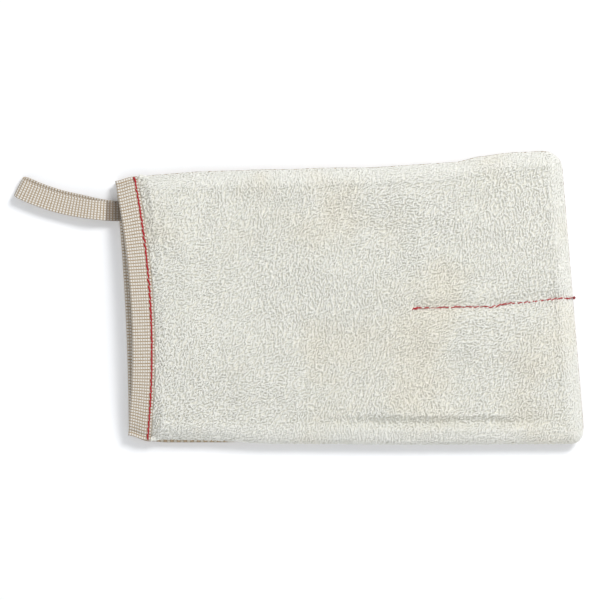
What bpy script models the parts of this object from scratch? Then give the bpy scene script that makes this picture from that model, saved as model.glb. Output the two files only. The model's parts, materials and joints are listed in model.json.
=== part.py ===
"""Terry wash mitt with a woven back, a taped mouth, a hanging loop and a sewn finger divider.

Metres, +Z up. The mitt lies on its woven back. X runs from the mouth (-X) to the closed end (+X),
and the origin is under the middle of the whole mitt, loop included, on the surface it lies on.
Places on the cloth are given by two distances: s from the mouth line towards the closed end, and
t across the mitt from its lower side edge.
"""

from math import cos, hypot, pi, radians, sin

import bmesh
import bpy
from mathutils import Vector

# Outline of the sewn mitt.
BODY_LENGTH = 0.244
MOUTH_WIDTH = 0.1405
CLOSED_WIDTH = 0.157
MOUTH_SKEW = 0.0075
CLOSED_SKEW = 0.0155
UPPER_CORNER_RADIUS = 0.010
LOWER_CORNER_RADIUS = 0.006

# Cloth, tape and thread.
TERRY_THICKNESS = 0.0039
PRESSED_TERRY = 0.0020
BACK_THICKNESS = 0.0023
PRESSED_BACK = 0.0012
TAPE_THICKNESS = 0.0008
TAPE_FOLDED_WIDTH = 0.0115
THREAD_RADIUS = 0.00045
FINE_THREAD_RADIUS = 0.00025
CLOSING_THREAD_RADIUS = 0.0003
TOUCHING_GAP = 0.0003

# Hollow of the mitt and how its edges are rolled.
POCKET_HEIGHT = 0.0063
SEAM_ALLOWANCE = 0.0095
ALLOWANCE_SLOPE = 0.0025
CLOSING_SEAM_INSET = 0.0045
CORNER_STEP = 0.0015
SEAM_GROOVE_HALF_WIDTH = 0.0013
SEAM_GROOVE_DEPTH = 0.0011
RIM_PLANE_HEIGHT = 0.00475
FRONT_EDGE_HEIGHT = 0.0062
ROLL_PROUD = 0.0004
CREASE_DEPTH = 0.0006
BACK_EDGE_HEIGHT = 0.0022
BACK_EDGE_FULLNESS = 1.4

# Open mouth: the front lip stands up in an arch and its edge draws back.
LIP_STANDOFF = 0.0005
LIP_RISE = 0.010
ARCH_START = 0.003
ARCH_POWER = 0.75
ARCH_FADE = 0.085
FRONT_BOW = 0.0062
BACK_BOW = 0.0018
BOW_FADE = 0.060
TAPE_CLEARANCE = 0.001
PUFF_LENGTH = 0.0065

# Rows of stitching.
TOPSTITCH_INSET = 0.0023
STITCH_DIP_HALF_WIDTH = 0.0012
FRONT_STITCH_DIP = 0.0005
BACK_STITCH_DIP = 0.0003
DIVIDER_LENGTH = 0.088
DIVIDER_START_SHARE = 0.473
DIVIDER_END_SHARE = 0.4935
DIVIDER_FOOT_HALF_WIDTH = 0.0013
DIVIDER_HALF_WIDTH = 0.004
VALLEY_HALF_WIDTH = 0.0065
VALLEY_DEPTH = 0.0035
DIVIDER_RUN_IN = 0.003
THREAD_END_INSET = 0.001
BOBBIN_END_INSET = 0.0062

# Hanging loop.
LOOP_WIDTH = 0.0116
LOOP_REACH = 0.0545
LOOP_TURN = radians(27)
LOOP_INSET = 0.016
LOOP_EYE_HEIGHT = 0.0048
LOOP_EYE_START = 0.014
LOOP_LANDING = 0.030
LOOP_TAB_LENGTH = 0.008
LOOP_AXIS_OUTSET = 0.0030
LOOP_AXIS_CLEARANCE = 0.0013
TACK_INSET = 0.002

# Rows of points of the panels, as shares of the length they divide.
ROLL_ROW_SHARE = 0.4
FINGER_ROW_SHARES = (0.4, 0.75)
FRONT_ROW_SHARES = (0.12, 0.18, 0.25, 0.36, 0.5)
BACK_ROW_SHARES = (0.2, 0.4)

# Corners of the tape's fold, out from the cloth and up from its face, as shares of the tape's reach.
FOLD_SHOULDER = (0.75, 0.55)
FOLD_NOSE = (1.0, -0.2)

# Heights of the stack of cloth and tape at the mouth, from the table up.
TOPSTITCH_PLACE = TAPE_FOLDED_WIDTH - TOPSTITCH_INSET
BACK_CLOTH_LOW = LIP_STANDOFF + TAPE_THICKNESS + TOUCHING_GAP
BACK_CLOTH_HIGH = BACK_CLOTH_LOW + PRESSED_BACK
BACK_LIP_HIGH = BACK_CLOTH_HIGH + TOUCHING_GAP + TAPE_THICKNESS
FRONT_LIP_LOW = BACK_LIP_HIGH + TOUCHING_GAP
FRONT_CLOTH_LOW = FRONT_LIP_LOW + TAPE_THICKNESS + TOUCHING_GAP
FRONT_CLOTH_HIGH = FRONT_CLOTH_LOW + PRESSED_TERRY
CEILING = BACK_THICKNESS + POCKET_HEIGHT
PLATEAU = CEILING + TERRY_THICKNESS
BODY_ARCH = LIP_RISE - (CEILING - FRONT_CLOTH_LOW)
TAPE_ZONE = TAPE_FOLDED_WIDTH + TAPE_CLEARANCE
LOOP_TAB_THICKNESS = 2 * TAPE_THICKNESS + TOUCHING_GAP
LOOP_AXIS_HEIGHT = FRONT_LIP_LOW + LOOP_TAB_THICKNESS / 2
DIVIDER_START = BODY_LENGTH - DIVIDER_LENGTH

TERRY_COLOUR = (0.80, 0.79, 0.71, 1.0)
BACK_COLOUR = (0.62, 0.52, 0.38, 1.0)
TAPE_COLOUR = (0.66, 0.58, 0.46, 1.0)
RED_COLOUR = (0.42, 0.02, 0.03, 1.0)
WHITE_THREAD_COLOUR = (0.75, 0.73, 0.66, 1.0)


def smooth(value, low, high):
    """0 below low, 1 above high, and a smooth step between them."""
    x = min(1.0, max(0.0, (value - low) / (high - low)))
    return x * x * (3 - 2 * x)


def mix(a, b, share):
    return a + (b - a) * share


def ramp(value, points):
    """Height at value on the straight runs between (place, height) points."""
    if value <= points[0][0]:
        return points[0][1]
    for (x0, z0), (x1, z1) in zip(points, points[1:]):
        if value <= x1:
            return mix(z0, z1, (value - x0) / (x1 - x0))
    return points[-1][1]


def dip(distance, half_width, depth):
    """Depth of a V-shaped groove at this distance from its middle."""
    return depth * max(0.0, 1 - abs(distance) / half_width)


def width_at(s):
    return mix(MOUTH_WIDTH, CLOSED_WIDTH, s / BODY_LENGTH)


def divider_at(s):
    """Distance of the divider seam from the lower side edge."""
    share = (s - DIVIDER_START) / DIVIDER_LENGTH
    return width_at(s) * mix(DIVIDER_START_SHARE, DIVIDER_END_SHARE, share)


def side_distance(s, t):
    return min(t, width_at(s) - t)


def edge_distance(s, t):
    """Distance from the nearest sewn edge: either side or the closed end."""
    return min(side_distance(s, t), BODY_LENGTH - s)


def arch_at(s, t):
    """Share of the lip's rise at this place across the mouth, 0 at the side seams and 1 midway."""
    half = width_at(s) / 2
    across = 1 - (side_distance(s, t) - ARCH_START) / (half - ARCH_START)
    return max(0.0, 1 - min(1.0, across) ** 2) ** ARCH_POWER


def rounded_corner(s, t):
    """(s, t) with the two square corners of the closed end turned round."""
    width = width_at(s)
    upper = t > width / 2
    radius = UPPER_CORNER_RADIUS if upper else LOWER_CORNER_RADIUS
    from_end = radius - (BODY_LENGTH - s)
    from_side = radius - (width - t if upper else t)
    if from_end <= 0 or from_side <= 0:
        return s, t
    scale = max(from_end, from_side) / hypot(from_end, from_side)
    s = BODY_LENGTH - radius + from_end * scale
    inset = radius - from_side * scale
    return s, width_at(s) - inset if upper else inset


def outline_place(s, t, bow=0.0):
    """(x, y) of a place on the cloth before the mitt is centred. bow draws the mouth's edge back."""
    s, t = rounded_corner(s, t)
    share = t / width_at(s)
    mouth_x = MOUTH_SKEW * (0.5 - share)
    closed_x = BODY_LENGTH + CLOSED_SKEW * (0.5 - share)
    drawn = bow * 4 * share * (1 - share) * (1 - smooth(s, TAPE_ZONE, BOW_FADE))
    return mix(mouth_x, closed_x, s / BODY_LENGTH) + drawn, t


def loop_place_before_centring(along, across=0.0):
    """(x, y) at a distance along the loop's arc from its hinge line, and across towards +Y."""
    width = width_at(0)
    edge_x, centre_y = outline_place(0, width - LOOP_INSET, BACK_BOW)
    radius = LOOP_REACH / LOOP_TURN
    turn = LOOP_TURN * max(0.0, along) / LOOP_REACH
    x = edge_x - LOOP_AXIS_OUTSET - radius * sin(turn) - min(0.0, along)
    y = centre_y + radius * (1 - cos(turn))
    return x + across * sin(turn), y + across * cos(turn)


def centre_of_mitt():
    """Middle of the box round the outline and the loop."""
    steps = 60
    places = [outline_place(BODY_LENGTH, CLOSED_WIDTH * n / steps) for n in range(steps + 1)]
    places += [outline_place(BODY_LENGTH * n / steps, 0) for n in range(steps + 1)]
    places += [outline_place(s, width_at(s)) for s in (BODY_LENGTH * n / steps for n in range(steps + 1))]
    places.append(loop_place_before_centring(LOOP_REACH, -LOOP_WIDTH / 2))
    xs = [x for x, _ in places]
    ys = [y for _, y in places]
    return (min(xs) + max(xs)) / 2, (min(ys) + max(ys)) / 2


CENTRE_X, CENTRE_Y = centre_of_mitt()


def plan(s, t, bow=0.0):
    x, y = outline_place(s, t, bow)
    return x - CENTRE_X, y - CENTRE_Y


def loop_plan(along, across=0.0):
    x, y = loop_place_before_centring(along, across)
    return x - CENTRE_X, y - CENTRE_Y


def allowance_height(distance, rim, hollow):
    """Height of an inner face: rim over the seam allowance, hollow inside it."""
    return ramp(distance, ((SEAM_ALLOWANCE, rim), (SEAM_ALLOWANCE + ALLOWANCE_SLOPE, hollow)))


def back_inner(s, t):
    """Pocket floor: the upper face of the woven back."""
    edge = edge_distance(s, t)
    rim = RIM_PLANE_HEIGHT - TOUCHING_GAP / 2
    body = allowance_height(edge, rim, BACK_THICKNESS)
    body -= dip(edge - CLOSING_SEAM_INSET, SEAM_GROOVE_HALF_WIDTH, SEAM_GROOVE_DEPTH)
    lip = BACK_CLOTH_HIGH - dip(s - TOPSTITCH_PLACE, STITCH_DIP_HALF_WIDTH, BACK_STITCH_DIP)
    return mix(lip, body, smooth(s, TAPE_ZONE, TAPE_ZONE + PUFF_LENGTH))


def back_outer(s, t):
    """Underside of the woven back, flat on the table inside its turned edges."""
    edge = edge_distance(s, t)
    turned = 1 - smooth(edge, -CLOSING_SEAM_INSET / 2, CLOSING_SEAM_INSET)
    body = BACK_EDGE_HEIGHT * BACK_EDGE_FULLNESS * turned
    sewn = smooth(s, DIVIDER_START - DIVIDER_RUN_IN, DIVIDER_START - DIVIDER_RUN_IN / 2)
    body += sewn * dip(t - divider_at(s), DIVIDER_FOOT_HALF_WIDTH, SEAM_GROOVE_DEPTH)
    lip = BACK_CLOTH_LOW + dip(s - TOPSTITCH_PLACE, STITCH_DIP_HALF_WIDTH, BACK_STITCH_DIP)
    return mix(lip, body, smooth(s, TAPE_ZONE, TAPE_ZONE + PUFF_LENGTH))


def body_lift(s, t):
    return BODY_ARCH * arch_at(s, t) * (1 - smooth(s, TAPE_ZONE, ARCH_FADE))


def on_divider(s):
    return smooth(s, DIVIDER_START - DIVIDER_RUN_IN, DIVIDER_START + DIVIDER_RUN_IN)


def front_inner(s, t):
    """Pocket ceiling: the lower face of the terry, sewn down to the back along the divider."""
    edge = edge_distance(s, t)
    rim = RIM_PLANE_HEIGHT + TOUCHING_GAP / 2
    body = allowance_height(edge, rim, CEILING)
    body += dip(edge - CLOSING_SEAM_INSET, SEAM_GROOVE_HALF_WIDTH, SEAM_GROOVE_DEPTH)
    if edge >= SEAM_ALLOWANCE:
        foot = allowance_height(edge, rim, BACK_THICKNESS + TOUCHING_GAP)
        offset = abs(t - divider_at(s))
        sewn = ramp(offset, ((DIVIDER_FOOT_HALF_WIDTH, 1.0), (DIVIDER_HALF_WIDTH, 0.0)))
        body = mix(body, foot, sewn * on_divider(s))
    body += body_lift(s, t)
    lip = FRONT_CLOTH_LOW + LIP_RISE * arch_at(s, t)
    lip += dip(s - TOPSTITCH_PLACE, STITCH_DIP_HALF_WIDTH, FRONT_STITCH_DIP)
    return mix(lip, body, smooth(s, TAPE_ZONE, TAPE_ZONE + PUFF_LENGTH))


def front_outer(s, t):
    """Terry face, with rolled edges, a crease inside them and a valley along the divider."""
    edge = edge_distance(s, t)
    roll = SEAM_ALLOWANCE
    rolled = PLATEAU + ROLL_PROUD
    turn = min(1.0, edge / roll)
    body = mix(FRONT_EDGE_HEIGHT, rolled, (1 - (1 - turn) ** 2) ** 0.5)
    if edge > roll:
        crease = roll + ALLOWANCE_SLOPE
        body = ramp(edge, ((roll, rolled), (crease, PLATEAU - CREASE_DEPTH), (2 * roll, PLATEAU)))
    offset = abs(t - divider_at(s))
    depth = VALLEY_DEPTH * smooth(BODY_LENGTH - s, 0, 2 * roll)
    body -= depth * (1 - smooth(offset, 0, VALLEY_HALF_WIDTH)) * on_divider(s)
    body += body_lift(s, t)
    lip = FRONT_CLOTH_HIGH + LIP_RISE * arch_at(s, t)
    lip -= dip(s - TOPSTITCH_PLACE, STITCH_DIP_HALF_WIDTH, FRONT_STITCH_DIP)
    return mix(lip, body, smooth(s, TAPE_ZONE, TAPE_ZONE + PUFF_LENGTH))


def groove_lines():
    """Distances from a sewn edge at which the cloth's faces bend, from the edge inwards."""
    groove = SEAM_GROOVE_HALF_WIDTH
    seam = CLOSING_SEAM_INSET
    inner = SEAM_ALLOWANCE + ALLOWANCE_SLOPE
    return [0.0, (seam - groove) * ROLL_ROW_SHARE, seam - groove, seam, seam + groove, SEAM_ALLOWANCE, inner]


def tape_lines():
    """Distances from the mouth line at which the pressed cloth under the tape bends."""
    middle = TOPSTITCH_PLACE
    return [0.0, 0.5 * middle, middle - STITCH_DIP_HALF_WIDTH, middle, middle + STITCH_DIP_HALF_WIDTH]


def length_lines(between):
    """Every s at which a panel has a row of points."""
    puff = [TAPE_ZONE, TAPE_ZONE + PUFF_LENGTH / 2, TAPE_ZONE + PUFF_LENGTH]
    start = DIVIDER_START
    run = [start - DIVIDER_RUN_IN, start, start + DIVIDER_RUN_IN]
    end = [BODY_LENGTH - d for d in reversed(groove_lines())]
    middle = [share * BODY_LENGTH for share in between]
    fingers = [mix(start, end[0], share) for share in FINGER_ROW_SHARES]
    return tape_lines() + puff + middle + run + fingers + end


def across_lines(s, offsets, fillers):
    """Every t at which a panel has a point in the row at s."""
    width = width_at(s)
    sides = groove_lines() + [2 * SEAM_ALLOWANCE]
    middle = divider_at(s)
    low = [mix(sides[-1], middle - offsets[-1], n / (fillers + 1)) for n in range(1, fillers + 1)]
    high_end = width - sides[-1]
    high = [mix(middle + offsets[-1], high_end, n / (fillers + 1)) for n in range(1, fillers + 1)]
    centre = [middle - d for d in reversed(offsets)] + [middle + d for d in offsets if d > 0]
    return sides + low + centre + high + [width - d for d in reversed(sides)]


def cloth_material(name, colour, roughness):
    material = bpy.data.materials.new(name)
    material.use_nodes = True
    shader = material.node_tree.nodes["Principled BSDF"]
    shader.inputs["Base Color"].default_value = colour
    shader.inputs["Roughness"].default_value = roughness
    shader.inputs["Metallic"].default_value = 0.0
    material.diffuse_color = colour
    return material


def mesh_object(name, points, faces, material, origin=(0.0, 0.0, 0.0)):
    """An object at origin whose mesh has these world points."""
    mesh = bpy.data.meshes.new(name)
    mesh.from_pydata([Vector(p) - Vector(origin) for p in points], [], faces)
    shape = bmesh.new()
    shape.from_mesh(mesh)
    bmesh.ops.recalc_face_normals(shape, faces=shape.faces)
    shape.to_mesh(mesh)
    shape.free()
    mesh.materials.append(material)
    mesh.shade_smooth()
    mesh.set_sharp_from_angle(angle=radians(40))
    obj = bpy.data.objects.new(name, mesh)
    obj.location = origin
    bpy.context.collection.objects.link(obj)
    return obj


def closed_sheet(rows):
    """(points, faces) of a closed sheet from rows of (upper point, lower point)."""
    across = len(rows[0])
    points = [pair[0] for row in rows for pair in row]
    below = len(points)
    points += [pair[1] for row in rows for pair in row]
    faces = []
    for i in range(len(rows) - 1):
        for j in range(across - 1):
            a, b = i * across + j, i * across + j + 1
            c, d = b + across, a + across
            faces.append((a, d, c, b))
            faces.append((below + a, below + b, below + c, below + d))
    rim = [(0, j) for j in range(across - 1)]
    rim += [(i, across - 1) for i in range(len(rows) - 1)]
    rim += [(len(rows) - 1, j) for j in range(across - 1, 0, -1)]
    rim += [(i, 0) for i in range(len(rows) - 1, 0, -1)]
    edge = [i * across + j for i, j in rim]
    for a, b in zip(edge, edge[1:] + edge[:1]):
        faces.append((a, b, below + b, below + a))
    return points, faces


def swept(profiles):
    """(points, faces) of a closed bar through rings of points, with a flat cap at each end."""
    size = len(profiles[0])
    points = [p for ring in profiles for p in ring]
    faces = []
    for i in range(len(profiles) - 1):
        for j in range(size):
            a, b = i * size + j, i * size + (j + 1) % size
            faces.append((a, b, b + size, a + size))
    faces.append(tuple(reversed(range(size))))
    faces.append(tuple(range(len(points) - size, len(points))))
    return points, faces


def make_panel(name, outer, inner, bow, rows, offsets, fillers, material):
    grid = []
    for s in rows:
        row = []
        for t in across_lines(s, offsets, fillers):
            x, y = plan(s, t, bow)
            low, high = sorted((outer(s, t), inner(s, t)))
            row.append(((x, y, high), (x, y, low)))
        grid.append(row)
    points, faces = closed_sheet(grid)
    return mesh_object(name, points, faces, material)


FRONT_OFFSETS = (0.0, DIVIDER_FOOT_HALF_WIDTH, DIVIDER_HALF_WIDTH, VALLEY_HALF_WIDTH)
BACK_OFFSETS = (0.0, DIVIDER_FOOT_HALF_WIDTH)


def front_rows():
    return length_lines(FRONT_ROW_SHARES)


def make_front_panel(material):
    return make_panel(
        "front_terry_panel", front_outer, front_inner, FRONT_BOW, front_rows(), FRONT_OFFSETS, 1, material
    )


def make_back_panel(material):
    rows = length_lines(BACK_ROW_SHARES)
    return make_panel("back_woven_panel", back_outer, back_inner, BACK_BOW, rows, BACK_OFFSETS, 1, material)


def binding_ring(column, offsets, upper, lower, bow):
    """Points round the folded tape's section, on the panel's column of points with this index."""
    places = tape_lines() + [TAPE_FOLDED_WIDTH]
    near = TOUCHING_GAP
    far = TOUCHING_GAP + TAPE_THICKNESS

    def point(s, height):
        t = across_lines(max(s, 0.0), offsets, 1)[column]
        x, y = plan(max(s, 0.0), t, bow)
        return (x + min(s, 0.0), y, height)

    def level(face, s, offset):
        t = across_lines(s, offsets, 1)[column]
        return face(s, t) + offset

    def fold_corner(face, side, shares):
        out, up = shares
        return point(-out * far, level(face, 0, side * up * far))

    outside = [point(s, level(upper, s, far)) for s in reversed(places)]
    outside += [fold_corner(upper, 1, FOLD_SHOULDER), fold_corner(upper, 1, FOLD_NOSE)]
    outside += [fold_corner(lower, -1, FOLD_NOSE), fold_corner(lower, -1, FOLD_SHOULDER)]
    outside += [point(s, level(lower, s, -far)) for s in places]
    inside = [point(s, level(lower, s, -near)) for s in reversed(places)]
    inside += [point(-near, level(lower, 0, -0.5 * near)), point(-near, level(upper, 0, 0.5 * near))]
    inside += [point(s, level(upper, s, near)) for s in places]
    return outside + inside


def make_binding(name, upper, lower, bow, offsets, material, origin=(0.0, 0.0, 0.0)):
    count = len(across_lines(0, offsets, 1))
    rings = [binding_ring(n, offsets, upper, lower, bow) for n in range(count)]
    points, faces = swept(rings)
    return mesh_object(name, points, faces, material, origin)


def thread_object(name, points, radius, material, origin=(0.0, 0.0, 0.0)):
    """A thread as a filled tube through world points."""
    curve = bpy.data.curves.new(name, "CURVE")
    curve.dimensions = "3D"
    curve.bevel_depth = radius
    curve.bevel_resolution = 1
    curve.use_fill_caps = True
    curve.materials.append(material)
    spline = curve.splines.new("POLY")
    spline.points.add(len(points) - 1)
    for place, point in zip(spline.points, points):
        place.co = (*(Vector(point) - Vector(origin)), 1.0)
    obj = bpy.data.objects.new(name, curve)
    obj.location = origin
    bpy.context.collection.objects.link(obj)
    return obj


def resting_height(radius, depth, half_width):
    """Height of a thread's middle over the bottom of the V-shaped groove it lies in."""
    slope_length = hypot(depth, half_width) / half_width
    return (radius + TOUCHING_GAP) * slope_length


def row_points(face, side, radius, depth, bow, offsets, end_inset):
    """Middle of a topstitch row on one face of a folded tape. side is 1 above it and -1 below."""
    reach = TOUCHING_GAP + TAPE_THICKNESS + resting_height(radius, depth, STITCH_DIP_HALF_WIDTH)
    lines = across_lines(TOPSTITCH_PLACE, offsets, 1)
    width = width_at(TOPSTITCH_PLACE)
    ends = [end_inset, width - end_inset]
    points = []
    for t in sorted(ends + [t for t in lines if end_inset < t < width - end_inset]):
        x, y = plan(TOPSTITCH_PLACE, t, bow)
        height = face(TOPSTITCH_PLACE, t) + side * reach
        points.append((x, y, height))
    return points


def make_topstitch_pair(panel, outer, inner, up, needle_radius, depth, bow, offsets, material, origin):
    """The needle thread outside a binding and the bobbin thread inside it, which ends at the seams."""
    needle = row_points(outer, up, needle_radius, depth, bow, offsets, THREAD_END_INSET)
    thread_object(f"{panel}_topstitch_needle_thread", needle, needle_radius, material, origin)
    bobbin = row_points(inner, -up, FINE_THREAD_RADIUS, depth, bow, offsets, BOBBIN_END_INSET)
    thread_object(f"{panel}_topstitch_bobbin_thread", bobbin, FINE_THREAD_RADIUS, material, origin)


def make_divider_needle_thread(material):
    """The thread along the valley of the divider, as far as the turn of the closed end."""
    last = BODY_LENGTH - CLOSING_SEAM_INSET
    points = []
    for s in (s for s in front_rows() if DIVIDER_START <= s <= last):
        x, y = plan(s, divider_at(s))
        points.append((x, y, front_outer(s, divider_at(s)) + THREAD_RADIUS + TOUCHING_GAP))
    return thread_object("divider_needle_thread", points, THREAD_RADIUS, material)


def make_divider_bobbin_thread(material):
    radius = FINE_THREAD_RADIUS
    height = SEAM_GROOVE_DEPTH - resting_height(radius, SEAM_GROOVE_DEPTH, DIVIDER_FOOT_HALF_WIDTH)
    points = []
    for s in (DIVIDER_START, BODY_LENGTH - 2 * SEAM_ALLOWANCE, BODY_LENGTH - SEAM_ALLOWANCE):
        x, y = plan(s, divider_at(s))
        points.append((x, y, height))
    return thread_object("divider_bobbin_thread", points, radius, material)


def make_closing_seam_thread(material):
    """The thread that joins front to back round the two sides and the closed end."""
    inset = CLOSING_SEAM_INSET
    start = TAPE_ZONE + PUFF_LENGTH
    stop = BODY_LENGTH - inset
    bends = [CORNER_STEP * n for n in range(5)]
    along = [mix(start, stop - bends[-1], n / 5) for n in range(5)]
    along += [stop - bend for bend in reversed(bends)]
    across = [inset + bend for bend in bends[1:]]
    across += [mix(across[-1], width_at(stop) - across[-1], n / 3) for n in (1, 2)]
    across += [width_at(stop) - inset - bend for bend in reversed(bends[1:])]
    points = [plan(s, inset) for s in along]
    points += [plan(stop, t) for t in across]
    points += [plan(s, width_at(s) - inset) for s in reversed(along)]
    places = [(x, y, RIM_PLANE_HEIGHT) for x, y in points]
    return thread_object("closing_seam_thread", places, CLOSING_THREAD_RADIUS, material)


def loop_axis():
    x, y = loop_plan(0)
    return Vector((x, y, LOOP_AXIS_HEIGHT))


def make_hanging_loop(material):
    """The loop's free part: one strap out along the table, round its fold and back above itself."""
    half_eye = (LOOP_EYE_HEIGHT + TAPE_THICKNESS) / 2
    half_tab = (TAPE_THICKNESS + TOUCHING_GAP) / 2
    fold = LOOP_REACH - half_eye - TAPE_THICKNESS / 2
    resting = half_eye + TAPE_THICKNESS / 2

    def heights(along):
        middle = mix(LOOP_AXIS_HEIGHT, resting, smooth(along, 0, LOOP_LANDING))
        return middle, mix(half_tab, half_eye, smooth(along, 0, LOOP_EYE_START))

    runs = [mix(LOOP_AXIS_CLEARANCE, fold, n / 12) for n in range(13)]
    below = [(along, heights(along)[0] - heights(along)[1]) for along in runs]
    angles = [pi * n / 8 for n in range(1, 8)]
    turn = [(fold + half_eye * sin(angle), resting - half_eye * cos(angle)) for angle in angles]
    above = [(along, heights(along)[0] + heights(along)[1]) for along in reversed(runs)]
    path = below + turn + above
    stations = []
    for n, (along, height) in enumerate(path):
        before = path[max(n - 1, 0)]
        after = path[min(n + 1, len(path) - 1)]
        run = Vector((after[0] - before[0], after[1] - before[1])).normalized()
        stations.append((along, height, run))
    rings = []
    for along, height, run in stations:
        ring = []
        for side, across in ((1, 1), (1, -1), (-1, -1), (-1, 1)):
            shift = side * TAPE_THICKNESS / 2
            x, y = loop_plan(along - shift * run.y, across * LOOP_WIDTH / 2)
            ring.append((x, y, height + shift * run.x))
        rings.append(ring)
    points, faces = swept(rings)
    return mesh_object("hanging_loop", points, faces, material, loop_axis())


def make_loop_tab(material):
    """The loop's two ends, pressed together and sewn inside the mouth on the back binding."""
    low = FRONT_LIP_LOW
    high = FRONT_LIP_LOW + LOOP_TAB_THICKNESS
    rings = []
    for along in (-TOUCHING_GAP, -(LOOP_AXIS_OUTSET + LOOP_TAB_LENGTH)):
        sides = [loop_plan(along, LOOP_WIDTH / 2), loop_plan(along, -LOOP_WIDTH / 2)]
        rings.append([(*sides[0], high), (*sides[0], low), (*sides[1], low), (*sides[1], high)])
    points, faces = swept(rings)
    return mesh_object("loop_sewn_ends", points, faces, material)


def make_loop_tack(material):
    """The short row of stitches across the loop's sewn ends."""
    along = TACK_INSET - LOOP_AXIS_OUTSET - LOOP_TAB_LENGTH
    reach = LOOP_WIDTH / 2 - THREAD_END_INSET
    height = FRONT_LIP_LOW + LOOP_TAB_THICKNESS + TOUCHING_GAP + FINE_THREAD_RADIUS
    points = [(*loop_plan(along, reach * share), height) for share in (-1.0, 0.0, 1.0)]
    return thread_object("loop_tack_thread", points, FINE_THREAD_RADIUS, material)


def lip_axis_point():
    """A point midway on the line about which the front lip lifts, through the mouth's two ends."""
    lower = plan(0, 0)
    upper = plan(0, MOUTH_WIDTH)
    x = (lower[0] + upper[0]) / 2 - TOUCHING_GAP - TAPE_THICKNESS
    return Vector((x, (lower[1] + upper[1]) / 2, (BACK_LIP_HIGH + FRONT_LIP_LOW) / 2))


def main():
    for obj in list(bpy.data.objects):
        bpy.data.objects.remove(obj, do_unlink=True)

    terry = cloth_material("terry", TERRY_COLOUR, 0.95)
    woven = cloth_material("woven_back", BACK_COLOUR, 0.9)
    tape = cloth_material("tape", TAPE_COLOUR, 0.85)
    red = cloth_material("red_thread", RED_COLOUR, 0.6)
    white = cloth_material("white_thread", WHITE_THREAD_COLOUR, 0.7)

    make_front_panel(terry)
    make_back_panel(woven)
    lip = lip_axis_point()
    make_binding("front_mouth_binding", front_outer, front_inner, FRONT_BOW, FRONT_OFFSETS, tape, lip)
    make_binding("back_mouth_binding", back_inner, back_outer, BACK_BOW, BACK_OFFSETS, tape)
    make_topstitch_pair(
        "front", front_outer, front_inner, 1, THREAD_RADIUS, FRONT_STITCH_DIP,
        FRONT_BOW, FRONT_OFFSETS, red, lip,
    )
    make_topstitch_pair(
        "back", back_outer, back_inner, -1, FINE_THREAD_RADIUS, BACK_STITCH_DIP,
        BACK_BOW, BACK_OFFSETS, red, (0.0, 0.0, 0.0),
    )
    make_divider_needle_thread(red)
    make_divider_bobbin_thread(red)
    make_closing_seam_thread(white)
    make_hanging_loop(tape)
    make_loop_tab(tape)
    make_loop_tack(white)


main()
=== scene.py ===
"""Looks of a terry bath mitt: looped pile front, woven back, checked tape round the mouth,
red topstitching, a finger divider and a hanging loop of the same tape.

Lengths are in metres. A place on the cloth is given by s, its distance from the mouth line, and t,
its distance from the lower side edge, and every piece is worked out from those two.
"""

import json
import logging
from dataclasses import dataclass, field
from enum import Enum
from math import cos, pi, radians, sin
from typing import Callable, Iterable, Sequence, Union

import bpy
import numpy as np
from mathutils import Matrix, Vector


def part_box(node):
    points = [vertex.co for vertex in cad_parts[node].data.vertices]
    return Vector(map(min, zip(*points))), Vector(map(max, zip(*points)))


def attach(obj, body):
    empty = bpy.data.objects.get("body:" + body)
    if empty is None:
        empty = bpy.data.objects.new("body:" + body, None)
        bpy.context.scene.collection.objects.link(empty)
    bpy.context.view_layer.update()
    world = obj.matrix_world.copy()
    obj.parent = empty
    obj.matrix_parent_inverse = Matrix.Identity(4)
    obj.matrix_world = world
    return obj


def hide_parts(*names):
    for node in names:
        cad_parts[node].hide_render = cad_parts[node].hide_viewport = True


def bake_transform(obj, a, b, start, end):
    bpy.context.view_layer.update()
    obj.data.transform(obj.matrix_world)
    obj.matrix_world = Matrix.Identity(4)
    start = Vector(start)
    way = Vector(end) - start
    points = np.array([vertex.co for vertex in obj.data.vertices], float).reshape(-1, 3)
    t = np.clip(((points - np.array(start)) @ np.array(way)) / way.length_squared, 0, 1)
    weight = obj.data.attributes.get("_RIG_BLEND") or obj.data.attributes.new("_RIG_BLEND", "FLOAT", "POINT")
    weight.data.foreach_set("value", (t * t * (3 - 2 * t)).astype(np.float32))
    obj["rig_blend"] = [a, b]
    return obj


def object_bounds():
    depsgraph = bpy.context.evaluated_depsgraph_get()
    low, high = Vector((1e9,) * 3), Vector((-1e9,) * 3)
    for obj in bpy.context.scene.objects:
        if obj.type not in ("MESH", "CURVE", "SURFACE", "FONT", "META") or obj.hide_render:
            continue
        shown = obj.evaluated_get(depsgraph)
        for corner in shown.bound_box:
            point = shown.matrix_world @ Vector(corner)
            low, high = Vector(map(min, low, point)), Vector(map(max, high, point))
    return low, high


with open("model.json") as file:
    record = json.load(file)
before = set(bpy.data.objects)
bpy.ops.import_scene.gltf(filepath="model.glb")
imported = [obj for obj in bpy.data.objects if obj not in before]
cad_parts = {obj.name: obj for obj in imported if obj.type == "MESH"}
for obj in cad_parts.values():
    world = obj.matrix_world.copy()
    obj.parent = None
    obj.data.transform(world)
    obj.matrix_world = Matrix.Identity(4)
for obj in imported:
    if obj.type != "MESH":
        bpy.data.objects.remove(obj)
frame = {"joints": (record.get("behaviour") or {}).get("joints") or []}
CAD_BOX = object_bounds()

Array = np.ndarray
Colour = tuple[float, float, float, float]
Number = Union[float, Array]

log = logging.getLogger("mitt")

# Names under which a piece keeps its weave map and the numbers of its points
WEAVE_MAP = "Weave"
TURN_SHARE = "turn_share"
TONE = "tone"
RISE = "rise"
# Share of painted shade on the hanging loop beside the mouth, standing in for the lip's shadow
PAINTED_SHADE = "painted_shade"
BEAD = "bead"
LIP_WEIGHTS = "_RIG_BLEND"

# Counts of points at which a run of cloth is measured
ROW_SAMPLES = 400
SECTION_SAMPLES = 800


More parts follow.
